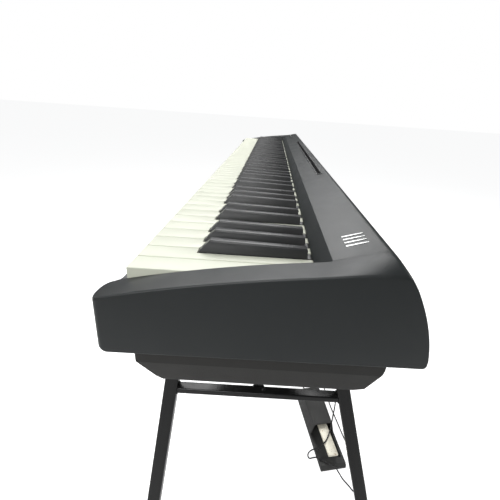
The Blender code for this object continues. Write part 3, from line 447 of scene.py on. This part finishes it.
def inset(outline, distance):
    """Closed 2-D outline moved inwards, whichever way round it runs."""
    count = len(outline)
    area = sum(outline[i - 1].cross(outline[i]) for i in range(count))
    side = 1 if area > 0 else -1
    moved = []
    for i in range(count):
        first = (outline[i] - outline[i - 1]).normalized()
        second = (outline[(i + 1) % count] - outline[i]).normalized()
        normal = (Vector((-first.y, first.x)) + Vector((-second.y, second.x))).normalized() * side
        stretch = 1 / max(0.5, math.sqrt(max(0.0, (1 + first.dot(second)) / 2)))
        moved.append(outline[i] + normal * distance * stretch)
    return moved


def round_over(radius, steps):
    """(distance from the end, inset) pairs of a quarter round, from the end inwards."""
    pairs = []
    for step in range(steps + 1):
        angle = math.pi / 2 * step / steps
        pairs.append((radius * (1 - math.sin(angle)), radius * (1 - math.cos(angle))))
    return list(reversed(pairs))


def soft_block(shape, outline, low, high, edge, place, steps=3):
    """Prism of a 2-D outline from low to high, rounded over at its far end; place maps (u, v, w)."""
    loops = [[place(p.x, p.y, low) for p in outline]]
    for depth, shrink in reversed(round_over(edge, steps)):
        loops.append([place(p.x, p.y, high - depth) for p in inset(outline, shrink)])
    add_loft(shape, loops)


def cut_out(piece, shape):
    """Cuts a bmesh out of a piece for good."""
    bmesh.ops.recalc_face_normals(shape, faces=shape.faces)
    mesh = bpy.data.meshes.new("cutter")
    shape.to_mesh(mesh)
    shape.free()
    cutter = bpy.data.objects.new("cutter", mesh)
    bpy.context.scene.collection.objects.link(cutter)
    change = piece.modifiers.new("cut", "BOOLEAN")
    change.operation = "DIFFERENCE"
    change.solver = "EXACT"
    change.object = cutter
    bpy.context.view_layer.update()
    graph = bpy.context.evaluated_depsgraph_get()
    result = bpy.data.meshes.new_from_object(piece.evaluated_get(graph), depsgraph=graph)
    old = piece.data
    piece.modifiers.remove(change)
    piece.data = result
    bpy.data.meshes.remove(old)
    bpy.data.objects.remove(cutter, do_unlink=True)
    bpy.data.meshes.remove(mesh)


def add_box(shape, low, high):
    corners = [(low[0], low[1]), (high[0], low[1]), (high[0], high[1]), (low[0], high[1])]
    add_loft(shape, [[Vector((x, y, z)) for x, y in corners] for z in (low[2], high[2])])


def dress(node, finish):
    """Gives a CAD node its finish."""
    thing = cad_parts[node]
    if not thing.material_slots:
        thing.data.materials.append(finish)
    for place in thing.material_slots:
        place.material = finish
    return thing


def soften(thing, width, segments=2):
    """Small round edges on a CAD node."""
    edge = thing.modifiers.new("edges", "BEVEL")
    edge.width = width
    edge.segments = segments
    edge.limit_method = "ANGLE"
    edge.angle_limit = math.radians(35)
    edge.harden_normals = False


# ---------------------------------------------------------------- case
def cheek_top(y):
    along = y - CHEEK_REFERENCE
    return CHEEK_START + CHEEK_RISE * along - CHEEK_SAG * along * along


def panel_height(y):
    share = (y - PANEL_FRONT) / (PANEL_REAR - PANEL_FRONT)
    return PANEL_FRONT_TOP + (PANEL_REAR_TOP - PANEL_FRONT_TOP) * share


def rear_face(z, shrink=0.0):
    rise = max(0.0, z - REAR_FOOT_TOP)
    return REAR_FOOT - shrink - REAR_LEAN * rise - REAR_CURVE * rise * rise


def front_plan(x):
    """Front of the case in plan: key slip, concave fillet, rounded nose and outer corner."""
    out = abs(x) - KEY_BLOCK_END
    if out < FILLET_START:
        return SLIP_FRONT
    if out < NOSE_TURN:
        across = (out - FILLET_START) / (NOSE_TURN - FILLET_START)
        return NOSE_MIDDLE + (SLIP_FRONT - NOSE_MIDDLE) * math.sqrt(max(0.0, 1 - across * across))
    if out < NOSE_FLAT:
        across = (NOSE_FLAT - out) / (NOSE_FLAT - NOSE_TURN)
        return NOSE_MIDDLE + (NOSE_FRONT - NOSE_MIDDLE) * math.sqrt(max(0.0, 1 - across * across))
    across = max(0.0, (out - CORNER_START) / CORNER_START)
    return NOSE_FRONT + CORNER_BACK * (1 - math.sqrt(max(0.0, 1 - across * across)))


def end_weight(x):
    """0 where the case is straight, up to 1 at its end."""
    return max(0.0, (abs(x) - CHEEK_INNER) / (CASE_HALF - CHEEK_INNER)) ** 2


def top_points(front, weight, edge_drop, count=34):
    """(y, z) points along the top of an end block, from its front to the rear edge of the panel."""
    rear = PANEL_REAR - 0.001
    points = []
    for i in range(count + 1):
        y = front + (rear - front) * i / count
        if y < PANEL_FRONT:
            z = cheek_top(y)
        else:
            share = (y - PANEL_FRONT) / (PANEL_REAR - PANEL_FRONT)
            z = max(cheek_top(y), panel_height(y)) - TOP_FALL * weight * share ** 1.3
        points.append([y, z])
    for _ in range(8):
        smoothed = [z for _, z in points]
        for i in range(1, count):
            bend = (points[i - 1][1] + points[i + 1][1]) / 2 - points[i][1]
            smoothed[i] += 0.5 * min(1.0, 0.15 + weight) * bend
        for point, z in zip(points, smoothed):
            point[1] = z
    for point in points:
        share = min(1.0, max(0.0, (PANEL_FRONT + 0.001 - point[0]) / 0.004))
        point[1] -= edge_drop * share
    return points


def rear_points(top, count=12):
    points = []
    for i in range(count + 1):
        z = top + (REAR_FOOT_TOP - top) * i / count
        points.append((rear_face(z), z))
    return points


def cheek_section(x):
    """Closed outline of an end block at x."""
    front = front_plan(x)
    near_keys = abs(x) - CHEEK_INNER
    outward = near_keys / (CASE_HALF - CHEEK_INNER)
    left = max(0.0, 1 - near_keys / END_EDGE)
    edge_drop = END_EDGE * (1 - math.sqrt(1 - left * left))
    tops = [(y, z + OUTER_RISE * outward) for y, z in top_points(front, end_weight(x), edge_drop)]
    corners = [(front - FOOT_LEAN, CASE_BOTTOM - FOOT_DROP * outward, 0.0055), (*tops[0], 0.0035)]
    corners += [(y, z, 0) for y, z in tops[1:-1]]
    height = tops[-1][1]
    corners.append((rear_face(height) - 0.0008, height, 0.0060))
    corners += [(y, z, 0) for y, z in rear_points(height - 0.0045)[1:]]
    corners.append((REAR_FOOT, CASE_BOTTOM, 0.0065))
    return rounded(corners)


def make_cheek(name, side, finish):
    """End block, with its outer edges rounded over."""
    shape = bmesh.new()
    places = [0.0, 0.0002, 0.0005, 0.0009, 0.0012, 0.0016, 0.0020, 0.0024, 0.0027, 0.0030, 0.0035, 0.0042,
              0.0052, 0.0065, 0.0080, 0.0100, 0.0120, 0.0140, 0.0160, 0.0180, 0.0200, 0.0220, 0.0240, 0.0258,
              0.0270, 0.0280]
    loops = []
    for offset in places:
        x = CHEEK_INNER + offset
        loops.append([lay_out(side * x, p.x, p.y) for p in cheek_section(x)])
    for depth, shrink in reversed(round_over(END_ROUND, 7)):
        x = CASE_HALF - depth
        loops.append([lay_out(side * x, p.x, p.y) for p in inset(cheek_section(x), shrink)])
    add_loft(shape, loops)
    return publish(name, shape, finish, smooth_angle=32)


def make_panel(finish):
    """Fallboard lip, control panel and rear wall between the end blocks, one moulded sheet."""
    edge = 0.0013
    corners = [(LIP_FRONT, LIP_BOTTOM, 0.0009), (PANEL_FRONT, PANEL_FRONT_TOP, edge)]
    corners.append((PANEL_REAR + 0.0018, panel_height(PANEL_REAR), 0.0060))
    corners += [(y, z, 0) for y, z in rear_points(0.0255)[1:]]
    corners.append((REAR_FOOT, CASE_BOTTOM, 0.0065))
    corners += [(REAR_FOOT - WALL - 0.004, CASE_BOTTOM, 0), (REAR_FOOT - WALL, -0.050, 0)]
    corners += [(rear_face(z, WALL), z, 0) for z in (-0.035, -0.020, -0.005, 0.010, 0.018)]
    corners += [(PANEL_REAR - 0.004, panel_height(PANEL_REAR) - WALL - 0.0015, 0.002),
                (PANEL_FRONT + 0.002, panel_height(PANEL_FRONT) - WALL, 0.001),
                (LIP_FRONT + WALL, LIP_BOTTOM, 0.0005)]
    outline = rounded(corners, 7)
    shape = bmesh.new()
    add_loft(shape, [[lay_out(x, p.x, p.y) for p in outline] for x in (-CHEEK_INNER, CHEEK_INNER)])
    panel = publish("panel_shell", shape, finish, smooth_angle=32)

    half_trim = SLOT_WIDTH / 2 + SLOT_TRIM
    shape = bmesh.new()
    add_box(shape, lay_out(-SLOT_HALF - SLOT_TRIM, SLOT_MIDDLE - half_trim, 0.010),
            lay_out(SLOT_HALF + SLOT_TRIM, SLOT_MIDDLE + half_trim, 0.05))
    cut_out(panel, shape)
    shape = bmesh.new()
    add_box(shape, lay_out(JACK_MIDDLE - JACK_HALF - GAP, 0.222, JACK_BOTTOM - GAP),
            lay_out(JACK_MIDDLE + JACK_HALF + GAP, 0.252, JACK_TOP + GAP))
    cut_out(panel, shape)
    for x, length in BUTTONS.values():
        shape = bmesh.new()
        place = slope_frame(x, BUTTON_BACK)
        outline = pill_outline(length + BUTTON_CLEARANCE, BUTTON_WIDTH + BUTTON_CLEARANCE)
        add_loft(shape, [[place @ Vector((p.x, p.y, z)) for p in outline] for z in (-0.008, 0.008)])
        cut_out(panel, shape)
    panel.data.set_sharp_from_angle(angle=math.radians(32))
    return panel


def make_slip(finish):
    """Key slip: it runs out into the end blocks in a concave fillet."""
    shape = bmesh.new()
    turn = KEY_BLOCK_END + FILLET_START
    half = [turn + (CHEEK_INNER - turn) * i / 12 for i in range(13)]
    loops = []
    for x in [-x for x in reversed(half)] + half:
        front = front_plan(x)
        outline = rounded([(front - FOOT_LEAN, CASE_BOTTOM, 0.004), (front, SLIP_TOP, 0.0012),
                           (SLIP_REAR, SLIP_TOP, 0.0006), (SLIP_REAR, CASE_BOTTOM, 0)])
        loops.append([lay_out(x, p.x, p.y) for p in outline])
    add_loft(shape, loops)
    return publish("key_slip", shape, finish, smooth_angle=32)


def make_case(finishes):
    treble = make_cheek("treble_end_block", 1, finishes["case"])
    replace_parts(treble, "upper_case")
    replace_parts(make_cheek("bass_end_block", -1, finishes["case"]), "upper_case")
    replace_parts(make_panel(finishes["case"]), "upper_case")
    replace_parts(make_slip(finishes["slip"]), "front_rail")
    soften(dress("lower_case", finishes["tub"]), 0.0012, 3)
    soften(dress("music_rest_slot", finishes["slot"]), 0.0005)
    soften(dress("jack_plate", finishes["slot"]), 0.0004)
    for node, finish in (("key_chassis", "chassis"), ("key_front_felt", "felt"), ("panel_board", "board"),
                         ("jack_board", "board"), ("bass_speaker", "speaker"), ("treble_speaker", "speaker")):
        dress(node, finishes[finish])


# ---------------------------------------------------------------- panel details
def slope_frame(x, along):
    """Frame on the panel: X along the piano, Y up the slope, Z out of the panel."""
    angle = math.atan2(PANEL_REAR_TOP - PANEL_FRONT_TOP, PANEL_REAR - PANEL_FRONT)
    foot = lay_out(x, PANEL_FRONT, PANEL_FRONT_TOP)
    return Matrix.Translation(foot) @ Matrix.Rotation(angle, 4, "X") @ Matrix.Translation((0, along, 0))


def pill_outline(length, width, steps=12):
    points = []
    for side in (1, -1):
        for i in range(steps + 1):
            angle = math.pi * (i / steps - 0.5)
            points.append(Vector((side * ((length - width) / 2 + width / 2 * math.cos(angle)),
                                  side * width / 2 * math.sin(angle))))
    return points


def make_buttons(finishes):
    for name, (x, length) in BUTTONS.items():
        place = slope_frame(x, BUTTON_BACK)
        shape = bmesh.new()
        soft_block(shape, pill_outline(length, BUTTON_WIDTH), -0.0062, BUTTON_PROUD, 0.0008,
                   lambda u, v, w, place=place: place @ Vector((u, v, w)), 4)
        button = publish(name + "_cap", shape, finishes["button"], name)
        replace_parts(button, name)


def panel_plate(name, outline, x, along, thickness, finish):
    """Thin flat mark or lens lying on the panel."""
    place = slope_frame(x, along)
    shape = bmesh.new()
    soft_block(shape, outline, -0.0002, thickness, thickness * 0.6,
               lambda u, v, w: place @ Vector((u, v, w)), 2)
    return publish(name, shape, finish)


def make_panel_details(finishes):
    bar = rectangle(0.0044, 0.0008, 0.0002, 2)
    for name, (x, _) in BUTTONS.items():
        panel_plate(name + "_tick", bar, x, BUTTON_BACK + 0.0080, 0.00012, finishes["print"])
    lens = pill_outline(0.0040, 0.0022)
    panel_plate("power_lamp", lens, -0.5720, BUTTON_BACK, 0.0005, finishes["lamp"])
    tall = rectangle(0.0022, 0.0190, 0.0006, 3)
    for number in range(4):
        x = 0.5680 + 0.0070 * number
        panel_plate("panel_mark_%d" % number, tall, x, 0.0240, 0.00015, finishes["mark"])


# ---------------------------------------------------------------- keyboard
def white_names():
    letters = "CDEFGAB"
    return [(letters[(i + 5) % 7], (i + 5) // 7) for i in range(WHITE_KEYS)]


def key_left(index):
    return -KEY_BLOCK_END + index * WHITE_PITCH


def black_middle(index):
    letter = white_names()[index][0]
    if index >= WHITE_KEYS - 1 or letter not in BLACK_OFFSETS:
        return None
    return key_left(index + 1) + BLACK_OFFSETS[letter]


def white_corners(index):
    """Plan of one white key as rounded corners (x, y, radius), with its notches."""
    left = key_left(index) + WHITE_GAP / 2
    right = key_left(index + 1) - WHITE_GAP / 2
    notch = BLACK_FRONT - 0.0012
    half = NOTCH_WIDTH / 2
    before = black_middle(index - 1) if index > 0 else None
    after = black_middle(index)
    corners = [(left, 0.0, 0.0010), (right, 0.0, 0.0010)]
    if after is None:
        corners.append((right, WHITE_LENGTH, 0))
    else:
        corners += [(right, notch, 0.0008), (after - half, notch, 0.0006), (after - half, WHITE_LENGTH, 0)]
    if before is None:
        corners.append((left, WHITE_LENGTH, 0))
    else:
        corners += [(before + half, WHITE_LENGTH, 0), (before + half, notch, 0.0006), (left, notch, 0.0008)]
    return corners


def add_white(shape, index):
    outline = rounded(white_corners(index), 3)
    soft_block(shape, outline, -WHITE_DEPTH, 0.0, 0.0006, lay_out, 3)
    add_box(shape, lay_out(key_left(index) + 0.0048, WHITE_LENGTH - 0.002, -WHITE_DEPTH),
            lay_out(key_left(index + 1) - 0.0048, KEY_TAIL, -TAIL_DROP))


def add_black(shape, middle):
    """Tapered black key with rounded edges; its top slopes down to the rear."""
    steps = 4
    edge = 0.0016
    levels = [(0.0, 0.0, 0.0), (0.12, 0.0, 0.0), (0.5, 0.0, 0.0)]
    for i in range(steps + 1):
        angle = math.pi / 2 * i / steps
        levels.append((1.0, edge * (1 - math.cos(angle)), edge * (1 - math.sin(angle))))
    loops = [[]]
    for share, shrink, drop in levels:
        half = (BLACK_FOOT_WIDTH + (BLACK_TOP_WIDTH - BLACK_FOOT_WIDTH) * share) / 2
        front = BLACK_FRONT + (BLACK_TOP_FRONT - BLACK_FRONT) * share
        outline = rounded([(middle - half, front, 0.0014), (middle + half, front, 0.0014),
                           (middle + half, BLACK_REAR, 0.0006), (middle - half, BLACK_REAR, 0.0006)], 3)
        loop = []
        for p in inset(outline, shrink) if shrink else outline:
            along = (p.y - BLACK_TOP_FRONT) / (BLACK_REAR - BLACK_TOP_FRONT)
            top = BLACK_HEIGHT + (BLACK_REAR_HEIGHT - BLACK_HEIGHT) * along
            loop.append(lay_out(p.x, p.y, 0.0006 + (top - 0.0006) * share - drop))
        loops.append(loop)
    loops[0] = [Vector((p.x, p.y, KEY_TOP - BLACK_DEPTH)) for p in loops[1]]
    add_loft(shape, loops)
    add_box(shape, lay_out(middle - 0.0052, BLACK_REAR - 0.003, -0.0065),
            lay_out(middle + 0.0052, KEY_TAIL, -0.0002))


def make_keys(finishes):
    names = white_names()
    first_single = names.index(("C", 7))
    groups = [("bank_bass", 0, names.index(("C", 3)) - 1),
              ("bank_tenor", names.index(("C", 3)), names.index(("C", 5)) - 1),
              ("bank_alto", names.index(("C", 5)), first_single - 1)]
    groups += [("%s%d" % names[i], i, i) for i in range(first_single, WHITE_KEYS)]
    for label, first, last in groups:
        shape = bmesh.new()
        for index in range(first, last + 1):
            add_white(shape, index)
        node = "white_key_" + label
        keys = publish(node + "_shape", shape, finishes["white_key"], node, 50)
        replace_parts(keys, node)
        middles = [black_middle(i) for i in range(first, last + 1) if black_middle(i) is not None]
        if not middles:
            continue
        node = "black_key_" + label if first != last else "black_key_%s_sharp_%d" % names[first]
        shape = bmesh.new()
        for middle in middles:
            add_black(shape, middle)
        keys = publish(node + "_shape", shape, finishes["black_key"], node, 50)
        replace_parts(keys, node)


# ---------------------------------------------------------------- stand
def arm_x(z):
    return CROSSBAR_X - LEG_LEAN * (z - CROSSBAR_HEIGHT)


def leg_y(side_y, z):
    return CROSSBAR_MIDDLE + side_y * (CROSSBAR_HALF_SPREAD - LEG_SPLAYS[side_y] * (z - CROSSBAR_HEIGHT))


def make_leg(end, place, side_x, side_y, finish):
    wide_x = math.sqrt(1 + LEG_LEAN ** 2)
    wide_y = math.sqrt(1 + LEG_SPLAYS[side_y] ** 2)
    shape = bmesh.new()
    loops = []
    for z in (FOOT_SOLE + GAP, ARM_TOP - LEG_TUBE - GAP):
        loops.append([Vector((side_x * (arm_x(z) + p.x * wide_x), leg_y(side_y, z) + p.y * wide_y, z))
                      for p in rectangle(LEG_TUBE, LEG_TUBE, LEG_CORNER)])
    add_loft(shape, loops)
    name = "stand_leg_%s_%s" % (end, place)
    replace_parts(publish(name + "_tube", shape, finish), name)


def make_bar(name, point, ends, outline, finish):
    """Straight tube; point(end, u, v) is where a point of the section lies at that end."""
    shape = bmesh.new()
    add_loft(shape, [[point(end, p.x, p.y) for p in outline] for end in ends])
    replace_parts(publish(name + "_tube", shape, finish), name)


def crossbar_end(side_x, side_y, u, v, back=GAP):
    """Point of a crossbar's end, cut to lie along the slanted leg and back from its face."""
    z = CROSSBAR_HEIGHT + v
    to_face = LEG_TUBE / 2 * math.sqrt(1 + LEG_SPLAYS[side_y] ** 2) + back
    return Vector((side_x * CROSSBAR_X + u, leg_y(side_y, z) - side_y * to_face, z))


def add_bead(shape, place, path, spacing=0.0009):
    """Rippled weld bead along a closed 2-D path round the end of a tube."""
    length = sum((path[i] - path[i - 1]).length for i in range(len(path)))
    stops = []
    for i in range(len(path)):
        pieces = max(1, round((path[i] - path[i - 1]).length / spacing))
        stops += [path[i - 1].lerp(path[i], k / pieces) for k in range(pieces)]
    ripples = round(length / 0.0026)
    loops = []
    for i, here in enumerate(stops):
        out = here.normalized()
        size = 0.0013 + 0.0003 * math.sin(2 * math.pi * ripples * i / len(stops))
        loops.append([place(here.x + out.x * size * math.cos(turn), here.y + out.y * size * math.cos(turn),
                            size * math.sin(turn)) for turn in (math.pi * side / 3 for side in range(6))])
    close_ring(shape, add_loft(shape, loops, False, False))


def make_welds(end, side_x, finishes):
    """Fillet beads where a crossbar meets its legs and the stretcher, and where the legs meet the top arm."""
    bar = rectangle(BAR_WIDTH + 0.0006, BAR_HEIGHT + 0.0006, BAR_CORNER)
    leg = rectangle(LEG_TUBE + 0.0004, LEG_TUBE + 0.0004, LEG_CORNER)
    shape = bmesh.new()
    for side_y in (-1, 1):
        add_bead(shape, lambda u, v, w: crossbar_end(side_x, side_y, u, v, w + 0.0006), bar)
        height = ARM_TOP - LEG_TUBE - 0.0008
        middle = Vector((side_x * arm_x(height), leg_y(side_y, height), height))
        add_bead(shape, lambda u, v, w, m=middle: m + Vector((u, v, w)), leg)
    middle = Vector((side_x * (CROSSBAR_X - BAR_WIDTH / 2 - 0.0008), CROSSBAR_MIDDLE, CROSSBAR_HEIGHT))
    add_bead(shape, lambda u, v, w, m=middle: m + Vector((-side_x * w, u, v)), bar)
    publish("stand_welds_" + end, shape, finishes["steel"], smooth_angle=60)


def make_stand(finishes):
    steel = finishes["steel"]
    bar = rectangle(BAR_WIDTH, BAR_HEIGHT, BAR_CORNER)
    arm = rectangle(LEG_TUBE, LEG_TUBE, LEG_CORNER)
    plug = rectangle(LEG_TUBE - 0.0008, LEG_TUBE - 0.0008, LEG_CORNER)
    height = ARM_TOP - LEG_TUBE / 2
    for end, side_x in (("bass", -1), ("treble", 1)):
        x = side_x * arm_x(height)
        for place, side_y, stop in (("front", -1, ARM_ENDS[0]), ("rear", 1, ARM_ENDS[1])):
            make_leg(end, place, side_x, side_y, steel)
            soften(dress("stand_foot_%s_%s" % (end, place), finishes["rubber"]), 0.0015, 3)
            soften(dress("piano_foot_%s_%s" % (end, place), finishes["rubber"]), 0.0008, 2)
            shape = bmesh.new()
            soft_block(shape, plug, -0.001, 0.0018, 0.0010,
                       lambda u, v, w: Vector((x + u, stop + side_y * w, height + v)), 3)
            publish("arm_end_plug_%s_%s" % (end, place), shape, finishes["rubber"])
        make_bar("stand_crossbar_" + end, lambda side_y, u, v: crossbar_end(side_x, side_y, u, v), (-1, 1),
                 bar, steel)
        make_bar("stand_top_arm_" + end, lambda y, u, v: Vector((x + u, y, height + v)), ARM_ENDS, arm, steel)
        make_welds(end, side_x, finishes)
    reach = CROSSBAR_X - BAR_WIDTH / 2 - GAP
    make_bar("stand_stretcher", lambda x, u, v: Vector((x, CROSSBAR_MIDDLE + u, CROSSBAR_HEIGHT + v)),
             (-reach, reach), bar, steel)
    shape = bmesh.new()
    rivet = Vector((CROSSBAR_X, CROSSBAR_MIDDLE + 0.010, CROSSBAR_HEIGHT + BAR_HEIGHT / 2))
    add_loft(shape, round_loops([(-0.0004, 0.0036), (0.0006, 0.0036), (0.0014, 0.0026), (0.0017, 0.0010)],
                                lambda u, v, w: rivet + Vector((u, v, w)), 20))
    publish("crossbar_rivet", shape, steel)


# ---------------------------------------------------------------- pedal
def pedal_place(u, v, w):
    """Point of the pedal's own frame: u towards its toe, v across, w up."""
    frame_of_pedal = Matrix.Translation((*PEDAL_MIDDLE, 0.0)) @ Matrix.Rotation(PEDAL_TURN, 4, "Z")
    return frame_of_pedal @ Vector((u, v, w))


def hood_arc(u, height, wide, top_half, radius):
    """Open arch of the hood at u, from one foot over the top to the other."""
    low = PEDAL_BASE_HEIGHT + GAP
    outline = rounded([(-wide, low, 0), (-top_half, height, radius), (top_half, height, radius),
                       (wide, low, 0)], 8)
    return [pedal_place(u, p.x, p.y) for p in outline]


def make_hood(finishes):
    rear = -PEDAL_LENGTH / 2
    wide = PEDAL_WIDTH / 2
    loops = []
    for i in range(9):
        angle = math.pi / 2 * i / 8
        height = HOOD_HEIGHT - HOOD_REAR_DROP * (1 - math.sin(angle))
        pull = HOOD_NARROWING * (1 - math.sin(angle))
        loops.append(hood_arc(rear + 0.0005 + 0.014 * (1 - math.cos(angle)), height, wide - pull * 0.3,
                              wide - HOOD_LEAN - pull, HOOD_CORNER))
    front = rear + HOOD_LENGTH
    start = rear + 0.0145
    for i in range(1, 13):
        t = i / 12
        top_half = wide - HOOD_LEAN - HOOD_NARROWING * t * t
        height = HOOD_HEIGHT - 0.003 * t * t
        loops.append(hood_arc(start + (front - start) * t, height, wide, top_half, HOOD_CORNER))
    shape = bmesh.new()
    add_loft(shape, loops, True, False, closed=False)
    hood = publish("pedal_hood_shell", shape, finishes["pedal"], smooth_angle=40)
    wall = hood.modifiers.new("wall", "SOLIDIFY")
    wall.thickness = HOOD_WALL
    wall.offset = -1
    wall.use_rim = True
    soften(hood, 0.0005, 2)
    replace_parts(hood, "pedal_hood")

    ring = bmesh.new()
    middle_u = rear + HOOD_RING_BACK
    loops = []
    for i in range(32):
        angle = 2 * math.pi * i / 32
        loop = []
        for step in range(8):
            turn = 2 * math.pi * step / 8
            radius = 0.0052 + 0.0007 * math.cos(turn)
            lift = HOOD_HEIGHT - 0.0012 + 0.0007 * math.sin(turn)
            loop.append(pedal_place(middle_u + radius * math.cos(angle), radius * math.sin(angle), lift))
        loops.append(loop)
    close_ring(ring, add_loft(ring, loops, False, False))
    publish("pedal_hood_ring", ring, finishes["pedal"], smooth_angle=60)


def make_lever(finishes):
    """Plated foot lever: a flat blade with small corners, and its neck down to the pivot."""
    pivot = -PEDAL_LENGTH / 2 + PIVOT_BACK
    tip = PEDAL_LENGTH / 2 - 0.012
    half = LEVER_WIDTH / 2
    outline = rounded([(pivot + 0.016, -half, 0.003), (tip, -half, 0.0032), (tip, half, 0.0032),
                       (pivot + 0.016, half, 0.003)], 10)
    under = LEVER_TOP - LEVER_THICKNESS
    loops = []
    for depth, shrink in round_over(0.0014, 4):
        loops.append([pedal_place(p.x, p.y, under + depth) for p in inset(outline, shrink)])
    for depth, shrink in reversed(round_over(0.0018, 5)):
        loops.append([pedal_place(p.x, p.y, LEVER_TOP - depth) for p in inset(outline, shrink)])
    shape = bmesh.new()
    add_loft(shape, loops)
    side = rounded([(pivot - 0.011, PIVOT_HEIGHT - 0.0058, 0.004),
                    (pivot + 0.012, PIVOT_HEIGHT - 0.0058, 0.004),
                    (pivot + 0.030, under + 0.0005, 0.004), (pivot + 0.030, LEVER_TOP - 0.0010, 0),
                    (pivot + 0.018, LEVER_TOP - 0.0006, 0.003), (pivot - 0.004, PIVOT_HEIGHT + 0.0058, 0.004),
                    (pivot - 0.011, PIVOT_HEIGHT + 0.0040, 0.003)], 5)
    add_loft(shape, [[pedal_place(p.x, v, p.y) for p in side] for v in (-half + 0.001, half - 0.001)])
    lever = publish("pedal_lever_blade", shape, finishes["lever"], "pedal_lever", 40)
    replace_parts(lever, "pedal_lever")


def round_loops(profile, place, sides=24):
    """Loops of a turned shape: profile is (w, radius), place maps (u, v, w)."""
    return [[place(r * math.cos(2 * math.pi * i / sides), r * math.sin(2 * math.pi * i / sides), w)
             for i in range(sides)] for w, r in profile]


def make_gland(finishes):
    start = PEDAL_LENGTH / 2 + GAP
    profile = [(0.0, 0.0034), (0.0002, 0.0042), (0.0022, 0.0042), (0.0027, 0.0037)]
    for i in range(5):
        w = 0.0035 + i * 0.0028
        r = 0.0038 - i * 0.00028
        profile += [(w, r), (w + 0.0016, r - 0.0001), (w + 0.0018, r - 0.0007), (w + 0.0026, r - 0.0008)]
    profile.append((GLAND_LENGTH, 0.0022))
    shape = bmesh.new()
    add_loft(shape, round_loops(profile, lambda u, v, w: pedal_place(-start - w, u, GLAND_HEIGHT + v)))
    gland = publish("cord_strain_relief", shape, finishes["rubber"], smooth_angle=30)
    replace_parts(gland, "pedal_cord_gland")


def make_pedal(finishes):
    make_hood(finishes)
    make_lever(finishes)
    make_gland(finishes)
    soften(dress("pedal_base", finishes["pedal"]), 0.0012, 3)
    soften(dress("pedal_sole", finishes["rubber"]), 0.0006, 2)
    dress("pedal_pivot_pin", finishes["nickel"])


# ---------------------------------------------------------------- cord and plug
def smooth_route(points, steps):
    """Points of a Catmull-Rom curve through the given points, with steps of them to each interval."""
    knots = [Vector(point) for point in points]
    knots = [2 * knots[0] - knots[1]] + knots + [2 * knots[-1] - knots[-2]]
    curve = []
    for before, start, end, after in zip(knots, knots[1:], knots[2:], knots[3:]):
        for step in range(steps):
            t = step / steps
            curve.append(0.5 * (2 * start + (end - before) * t
                                + (2 * before - 5 * start + 4 * end - after) * t * t
                                + (3 * start - before - 3 * end + after) * t * t * t))
    curve.append(knots[-2])
    return curve


def make_plug(finishes):
    """Jack plug: nickel shank with a necked tip, and a moulded grip that tapers to the cord."""
    height = KEY_TOP + (JACK_BOTTOM + JACK_TOP) / 2
    face = KEY_FRONT + rear_face((JACK_BOTTOM + JACK_TOP) / 2) - 0.0007

    def place(u, v, w):
        return Vector((JACK_X + u, face + w, height + v))

    shape = bmesh.new()
    grip = [(0.0016, 0.0040), (0.0018, 0.00475), (0.0040, 0.00475), (0.0043, 0.0044), (0.0048, 0.0044),
            (0.0051, 0.00475), (0.0115, 0.0046), (0.0130, 0.0042), (0.0138, 0.0034), (0.0150, 0.0031),
            (0.0154, 0.0026), (0.0161, 0.0026), (0.0165, 0.0029), (PLUG_END - face - GAP, 0.0023)]
    add_loft(shape, round_loops(grip, place))
    plug = publish("jack_plug", shape, finishes["cord"], smooth_angle=30)
    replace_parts(plug, "pedal_plug")
    shape = bmesh.new()
    shank = [(-0.0240, 0.0014), (-0.0225, 0.0029), (-0.0190, 0.0031), (-0.0175, 0.0022), (-0.0165, 0.0031),
             (0.0020, 0.0031)]
    add_loft(shape, round_loops(shank, place))
    metal = publish("jack_plug_shank", shape, finishes["nickel"], smooth_angle=30)
    return plug, metal


def make_cord(finishes):
    plug, metal = make_plug(finishes)
    curve = bpy.data.curves.new("pedal_lead", "CURVE")
    curve.dimensions = "3D"
    curve.bevel_depth = CORD_DIAMETER / 2
    curve.bevel_resolution = 4
    curve.use_fill_caps = True
    points = list(reversed(smooth_route(CORD_ROUTE, CORD_STEPS)))
    spline = curve.splines.new("POLY")
    spline.points.add(len(points) - 1)
    for place, point in zip(spline.points, points):
        place.co = (*point, 1.0)
    spline.use_smooth = True
    curve.materials.append(finishes["cord"])
    lead = bpy.data.objects.new("pedal_lead", curve)
    bpy.context.scene.collection.objects.link(lead)
    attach(lead, "root")
    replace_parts(lead, "pedal_cord")


# ---------------------------------------------------------------- assembly
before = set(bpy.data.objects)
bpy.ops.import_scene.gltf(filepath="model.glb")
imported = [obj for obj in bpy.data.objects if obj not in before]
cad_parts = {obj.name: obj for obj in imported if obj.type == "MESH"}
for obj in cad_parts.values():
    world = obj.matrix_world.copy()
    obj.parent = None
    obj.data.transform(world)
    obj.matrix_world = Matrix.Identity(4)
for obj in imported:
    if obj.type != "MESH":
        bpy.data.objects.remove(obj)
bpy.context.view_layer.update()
make_camera()
finishes = make_finishes()
make_cord(finishes)
make_case(finishes)
make_buttons(finishes)
make_panel_details(finishes)
make_keys(finishes)
make_stand(finishes)
make_pedal(finishes)
make_studio()
make_floor()
